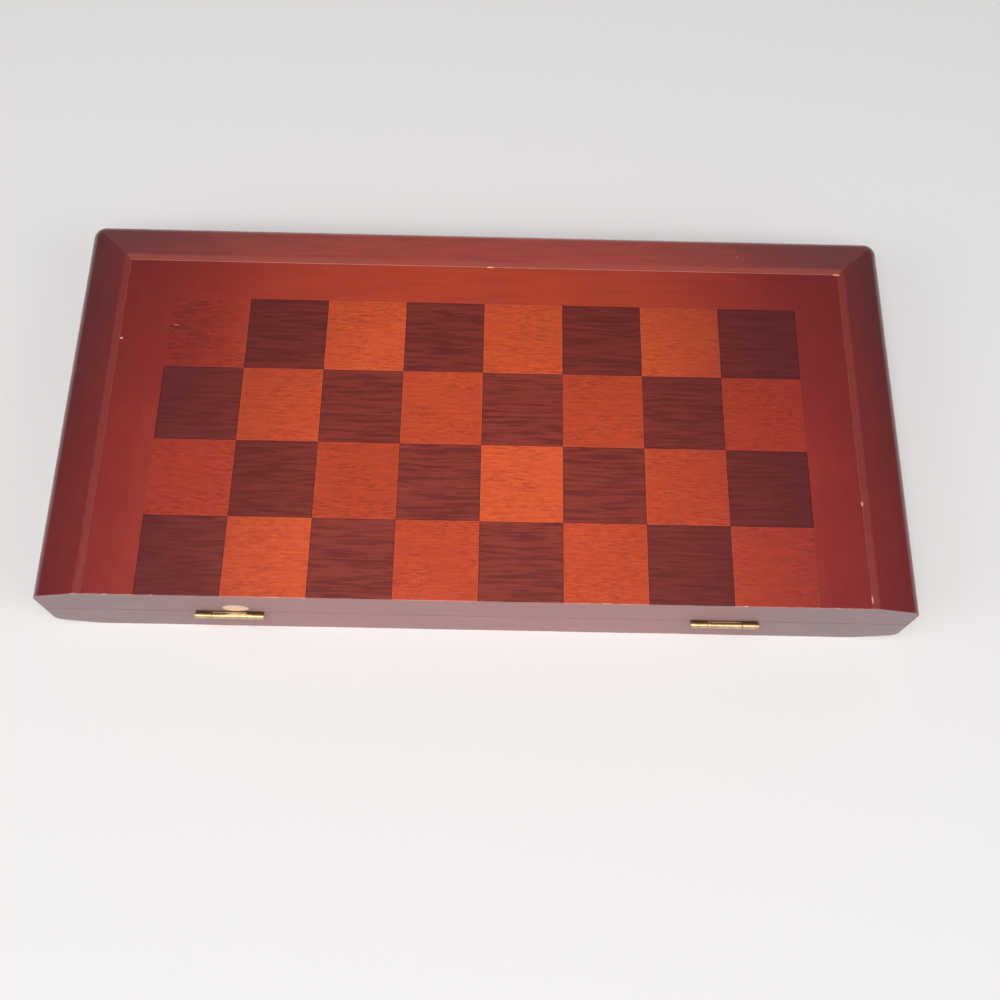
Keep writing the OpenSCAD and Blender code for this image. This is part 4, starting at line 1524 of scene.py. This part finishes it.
@dataclass
class GameSet:
    """Stones, dice and chessmen that lie in the base tray."""

    shop: Shop
    sizes: CaseSizes
    spread: Spread
    boxwood: Material
    rosewood: Material
    ivory: Material
    pip: Material
    stones_each: int = 15
    stone_edge: float = 1.3 * MM
    groove: float = 0.35 * MM
    broken: float = 0.12 * MM
    pip_ball: float = 1.21 * MM
    pip_rise: float = 0.495 * MM
    pip_step: float = 0.26
    die_corner: float = 1.1 * MM
    die_turns: tuple[float, float] = (24.0, 61.0)

    def stone(self) -> Solid:
        """Turns one stone, with a dish and a raised ring on both faces.

        Returns:
            The stone's mesh, with its axis on the origin of the plan.
        """
        low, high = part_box("light_stones")
        thick, edge = high.z - low.z, self.stone_edge
        radius = min(centre.x for centre in self.shop.centres("light_stones")) - low.x
        shares = ((0.0, 0.55), (0.22, 0.5), (0.33, 0.55), (0.37, 0.1), (0.4, 0.02), (0.43, 0.1),
                  (0.46, 0.55), (0.62, 0.5), (0.67, 0.1), (0.7, 0.0))
        half: Profile = [(out * radius, deep * MM) for out, deep in shares]
        half.append((radius - edge, 0.0))
        for i in range(1, 6):
            angle = math.radians(90 * i / 6)
            half.append((radius - edge + edge * math.sin(angle), edge * (1 - math.cos(angle))))
        half += [(radius, edge), (radius, thick / 2 - self.groove)]
        upper = [(out, thick - z) for out, z in reversed(half)]
        shape = turned(half + [(radius - 0.25 * MM, thick / 2)] + upper, 48)
        bmesh.ops.translate(shape, vec=(0.0, 0.0, low.z), verts=shape.verts[:])
        return shape

    def build(self) -> None:
        """Makes the stones, the dice and the men."""
        centres = sorted(self.shop.centres("light_stones"), key=lambda c: (round(c.x, 4), c.y))
        column = [c for c in centres if abs(c.x - centres[0].x) < 1 * MM]
        pitch = column[1].y - column[0].y
        for node, first, material, slot in (
            ("light_stones", 0, self.boxwood, "boxwood"),
            ("dark_stones", self.stones_each, self.rosewood, "rosewood"),
        ):
            made = self.spread.lay(
                self.shop, f"{node}_turned", self.stone(), material,
                Count=self.stones_each, First=first, Run=len(column),
                Origin=(centres[0].x, centres[0].y, 0.0), Step_in_a_run=(0.0, pitch, 0.0),
                Step_between_runs=(pitch, 0.0, 0.0), Seed=3 + first)
            self.shop.hand_over(made, "base", slot, node)
        for colour, material, slot in (("light", self.boxwood, "boxwood"),
                                       ("dark", self.rosewood, "rosewood")):
            for man in ("king", "queen", "bishops", "knights", "rooks", "pawns"):
                self.shop.softened(f"{colour}_{man}", material, "base", slot, self.broken)
        self._dice()

    def _dice(self) -> None:
        """Makes the two dice with dished pips."""
        low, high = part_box("dice")
        edge = high.z - low.z
        shape = bmesh.new()
        centres = sorted(self.shop.centres("dice"), key=lambda c: -c.y)
        for index, (centre, degrees) in enumerate(zip(centres, self.die_turns)):
            die = self._die(edge)
            turn = Matrix.Rotation(math.radians(degrees), 4, "Z")
            roll = Matrix.Rotation(math.radians(90 * index), 4, "Y")
            die.data.transform(Matrix.Translation(centre) @ turn @ roll)
            shape.from_mesh(die.data)
            bpy.data.objects.remove(die)
        made = self.shop.piece("dice_pair", shape, self.ivory, self.pip)
        self.shop.hand_over(made, "base", "die_ivory", "dice")

    def _die(self, edge: float) -> Piece:
        """One die at the origin, its faces flat and its corners rounded.

        Args:
            edge: length of an edge.

        Returns:
            The die; its pips have the second material.
        """
        half = edge / 2
        block = box_shape((-half, -half, -half), (half, half, half))
        made = self.shop.piece("die_blank", break_edges(block, self.die_corner, 4), self.ivory,
                               self.pip)
        pips = bmesh.new()
        step = edge * self.pip_step
        corners = [(-1, -1), (-1, 1), (1, -1), (1, 1)]
        layouts = {
            (0, 0, 1): [(0, 0)],
            (0, -1, 0): [(-1, -1), (1, 1)],
            (1, 0, 0): [(-1, -1), (0, 0), (1, 1)],
            (-1, 0, 0): corners,
            (0, 1, 0): corners + [(0, 0)],
            (0, 0, -1): corners + [(-1, 0), (1, 0)],
        }
        for facing, places in layouts.items():
            turn = Vector((0, 0, 1)).rotation_difference(Vector(facing)).to_matrix().to_4x4()
            for a, b in places:
                spot = Matrix.Translation((a * step, b * step, half + self.pip_rise))
                bmesh.ops.create_uvsphere(pips, u_segments=20, v_segments=12,
                                          radius=self.pip_ball, matrix=turn @ spot)
        return self.shop.cut(made, self.shop.piece("pip_cutter", pips, self.pip))


@dataclass
class Studio:
    """Floor, lamps, world and the camera at the photographed angle."""

    floor_colour: Colour = (236, 234, 233)
    place: Place = (0.003873, -0.253873, 0.546747)
    right: Place = (0.99974381, 0.01528207, 0.01669628)
    down: Place = (0.02045364, -0.92587458, -0.37727698)
    forward: Place = (0.00969309, 0.37752183, -0.92594995)
    lens: float = 42.621
    sensor: float = 36.0
    softbox_size: float = 1.2
    floor_reach: float = 6.0
    paper_from: tuple[float, float] = (0.7, 1.8)

    def build(self) -> None:
        """Sets the whole stage."""
        bpy.context.scene.view_settings.view_transform = "Standard"
        self._floor()
        self._world()
        self._camera()
        for name, place, power in (
            ("key_softbox", (-0.1, -0.75, 1.75), 27.0),
            ("fill_softbox", (1.6, -0.9, 1.3), 11.0),
            ("side_softbox", (-1.6, -0.9, 1.3), 9.5),
        ):
            self._softbox(name, place, power)

    def _softbox(self, name: str, place: Place, power: float) -> None:
        """Hangs one square softbox that points at the middle of the case.

        Args:
            name: the lamp's name.
            place: where it hangs.
            power: its power in watts.
        """
        lamp = bpy.data.lights.new(name, "AREA")
        lamp.shape = "SQUARE"
        lamp.size = self.softbox_size
        lamp.energy = power
        hung = bpy.data.objects.new(name, lamp)
        hung.location = place
        hung.rotation_euler = (-Vector(place)).to_track_quat("-Z", "Y").to_euler()
        bpy.context.scene.collection.objects.link(hung)

    def _floor(self) -> None:
        """Lays the pale floor."""
        shape = bmesh.new()
        bmesh.ops.create_grid(shape, x_segments=2, y_segments=2, size=self.floor_reach)
        mesh = bpy.data.meshes.new("floor")
        shape.to_mesh(mesh)
        shape.free()
        finish = Finish("pale_floor")
        colour = srgb(self.floor_colour)
        finish.put(Base_Color=colour, Roughness=0.95, Specular_IOR_Level=0.1)
        away = finish.ramp(finish.vector("LENGTH", finish.xyz), *self.paper_from)
        seen = finish.times(away, finish.seen_direct())
        paper = finish.add("ShaderNodeEmission", {"Color": colour, "Strength": 1.0})
        both = finish.add("ShaderNodeMixShader",
                          {0: seen, 1: finish.shader.outputs[0], 2: paper.outputs[0]})
        finish.feed(finish.output.inputs["Surface"], both.outputs[0])
        mesh.materials.append(finish.material)
        floor = bpy.data.objects.new("floor", mesh)
        bpy.context.scene.collection.objects.link(floor)

    def _world(self) -> None:
        """Dims the light from straight above, so that the varnish stays deep at the middle."""
        world = bpy.data.worlds.new("studio")
        bpy.context.scene.world = world
        world.use_nodes = True
        bench = Bench(world.node_tree)
        _, _, up = bench.split(bench.add("ShaderNodeTexCoord").outputs["Generated"])
        room = bench.add("ShaderNodeBackground",
                         {"Color": WHITE, "Strength": bench.ramp(up, 0.1, 0.8, 0.4, 0.1)})
        camera = bench.add("ShaderNodeLightPath").outputs["Is Camera Ray"]
        backdrop = bench.math("MAXIMUM", camera, bench.ramp(up, 0.1, 0.7, 1.0, 0.05))
        paper = bench.add("ShaderNodeBackground",
                          {"Color": srgb(self.floor_colour), "Strength": backdrop})
        both = bench.add("ShaderNodeMixShader",
                         {0: bench.seen_direct(), 1: room.outputs[0], 2: paper.outputs[0]})
        bench.add("ShaderNodeOutputWorld", {0: both.outputs[0]})

    def _camera(self) -> None:
        """Places the camera where the photograph was taken from."""
        data = bpy.data.cameras.new("camera")
        data.lens = self.lens
        data.sensor_width = self.sensor
        data.clip_start = 0.01
        camera = bpy.data.objects.new("camera", data)
        x, y, z = Vector(self.right), -Vector(self.down), -Vector(self.forward)
        turn = Matrix((x, y, z)).transposed().to_4x4()
        camera.matrix_world = Matrix.Translation(self.place) @ turn
        bpy.context.scene.collection.objects.link(camera)
        bpy.context.scene.camera = camera


@dataclass
class GamesCase:
    """The whole case: builds every sub-assembly in order."""

    shop: Shop
    sizes: CaseSizes

    def build(self) -> None:
        """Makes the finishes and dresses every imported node."""
        s = self.sizes
        spread = Spread()
        chips = (
            Chip(2.3 * MM, s.inner_y + 0.1 * MM, 1.9 * MM, 0.5 * MM),
            Chip(s.inner_x - 0.4 * MM, s.inner_y + 0.1 * MM, 2.0 * MM, 0.7 * MM, 0.7),
            Chip(-s.inner_x + 0.8 * MM, 30.4 * MM, 0.9 * MM, 0.6 * MM),
            Chip(s.inner_x + 0.2 * MM, -48.0 * MM, 0.6 * MM, 1.3 * MM, 0.8),
            Chip(s.inner_x + 0.3 * MM, -94.0 * MM, 0.5 * MM, 2.2 * MM, 0.8),
            Chip(126.3 * MM, 85.4 * MM, 0.4 * MM, 0.35 * MM, 0.7),
            Chip(-148.7 * MM, 38.2 * MM, 1.6 * MM, 0.35 * MM, 0.35),
        )
        frame_tones = {"ends": (117, 29, 31), "streak": (104, 25, 26), "fibre": 0.06,
                       "figure": 0.25, "lip": True, "chips": chips}
        # Partly the cross grain, partly painted light: side rails darker as painted shade of slopes
        # turned from the light, back rail and lip lighter as a painted sheen from behind.
        side_wood = VarnishedWood(
            "side_rail_varnish", middle=(158, 46, 35), grain=Grain.Y, outer_lacquer_and_shade=0.34,
            varnish=0.85, front_light_slant=0.2, **frame_tones).build(s)
        back_wood = VarnishedWood(
            "back_rail_varnish", middle=(178, 60, 45), stain_and_light_middle_fade=(0.6, 1.3), lip_colour=(166, 86, 74),
            varnish=0.6, outer_lacquer_and_shade=0.12, **frame_tones).build(s)
        plain_rail = VarnishedWood(
            "hinge_rail_varnish", middle=(128, 44, 42), ends=(92, 38, 40), streak=(98, 30, 32),
            figure=0.2, fibre=0.06, varnish=0.0, rough=0.6, haze=0.4).build(s)
        rails = MouldedRails(self.shop, s, finishes={
            "left_rail": side_wood, "right_rail": side_wood, "back_rail": back_wood,
            "front_end": plain_rail})
        light = VarnishedWood(
            "light_square_varnish", middle=(208, 85, 43), ends=(112, 34, 38),
            streak=(182, 58, 40), stain_and_light_middle_fade=(0.3, 1.2), figure=0.3, figure_pitch=1.3 * MM, fibre=0.2,
            flecks=0.66, tiled=True, toned=0.6, tone_gain=0.13, seam=(1.08, 1.25, 1.45),
            chips=chips, stains=(Stain(-s.board_half, 34 * MM, 44 * MM, 0.55),)).build(s)
        dark = VarnishedWood(
            "dark_square_varnish", middle=(140, 55, 45), ends=(94, 35, 37), streak=(90, 28, 29),
            stain_and_light_middle_fade=(0.25, 1.1), figure=0.6, figure_pitch=1.4 * MM, figure_long=14.0, fibre=0.28,
            tiled=True, toned=0.2, seam=(0.8, 0.5, 0.55)).build(s)
        edging = {"middle": (186, 67, 44), "ends": (127, 38, 40), "streak": (120, 33, 35),
                  "stain_and_light_middle_fade": (0.5, 1.2), "figure": 0.12, "fibre": 0.06, "chips": chips}
        side_edging = VarnishedWood("side_border_varnish", grain=Grain.Y, **edging).build(s)
        back_edging = VarnishedWood("back_border_varnish", **edging).build(s)
        ply = Plywood("core_plies").build()
        ground = VarnishedWood(
            "field_ground_varnish", middle=(150, 70, 44), ends=(132, 58, 40),
            streak=(112, 44, 32), figure=0.4, rough=0.4, varnish=0.4).build(s)
        pale_point = VarnishedWood(
            "light_point_varnish", middle=(208, 120, 66), ends=(198, 110, 62),
            streak=(170, 84, 48), figure=0.4, tiled=True, rough=0.4, varnish=0.4).build(s)
        deep_point = VarnishedWood(
            "dark_point_varnish", middle=(84, 38, 32), ends=(78, 34, 30), streak=(54, 24, 22),
            figure=0.6, tiled=True, rough=0.4, varnish=0.4).build(s)
        brass = Metal("hinge_brass_rubbed", (216, 190, 146), (198, 168, 120), rough=0.38,
                      crease_shade_at=s.front - 0.15 * MM).build()
        gold = Metal("seal_foil", (244, 232, 220), (236, 222, 208), rough=0.4).build()
        steel = Metal("magnet_nickel", (186, 188, 190), (130, 132, 136)).build()
        boxwood = TurnedWood("boxwood_turned", (222, 186, 124), (184, 138, 80)).build()
        rosewood = TurnedWood("rosewood_turned", (92, 44, 34), (52, 24, 22)).build()
        ivory = Resin("die_resin", (238, 230, 210), (226, 214, 188)).build()
        pip = Resin("pip_paint", (26, 24, 24), (40, 36, 36)).build()
        panel = ChequeredPanel(self.shop, s, spread, light, dark, side_edging, back_edging, ply)
        inside = PlayingField(self.shop, s, spread, ground, pale_point, deep_point, plain_rail,
                              steel)
        for tray in Tray:
            is_lid = tray is Tray.LID
            rails.build(tray)
            panel.build(tray, first_light=is_lid)
            inside.build(tray, light_parity=1 if is_lid else 0)
        Hinges(self.shop, s, spread, brass, gold).build()
        GameSet(self.shop, s, spread, boxwood, rosewood, ivory, pip).build()


def main() -> None:
    """Dresses the case and sets the stage."""
    logging.basicConfig(level=logging.INFO, format="%(name)s: %(message)s")
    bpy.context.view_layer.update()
    sizes = CaseSizes.from_frame()
    GamesCase(Shop(), sizes).build()
    Studio().build()


if __name__ == "__main__":
    main()
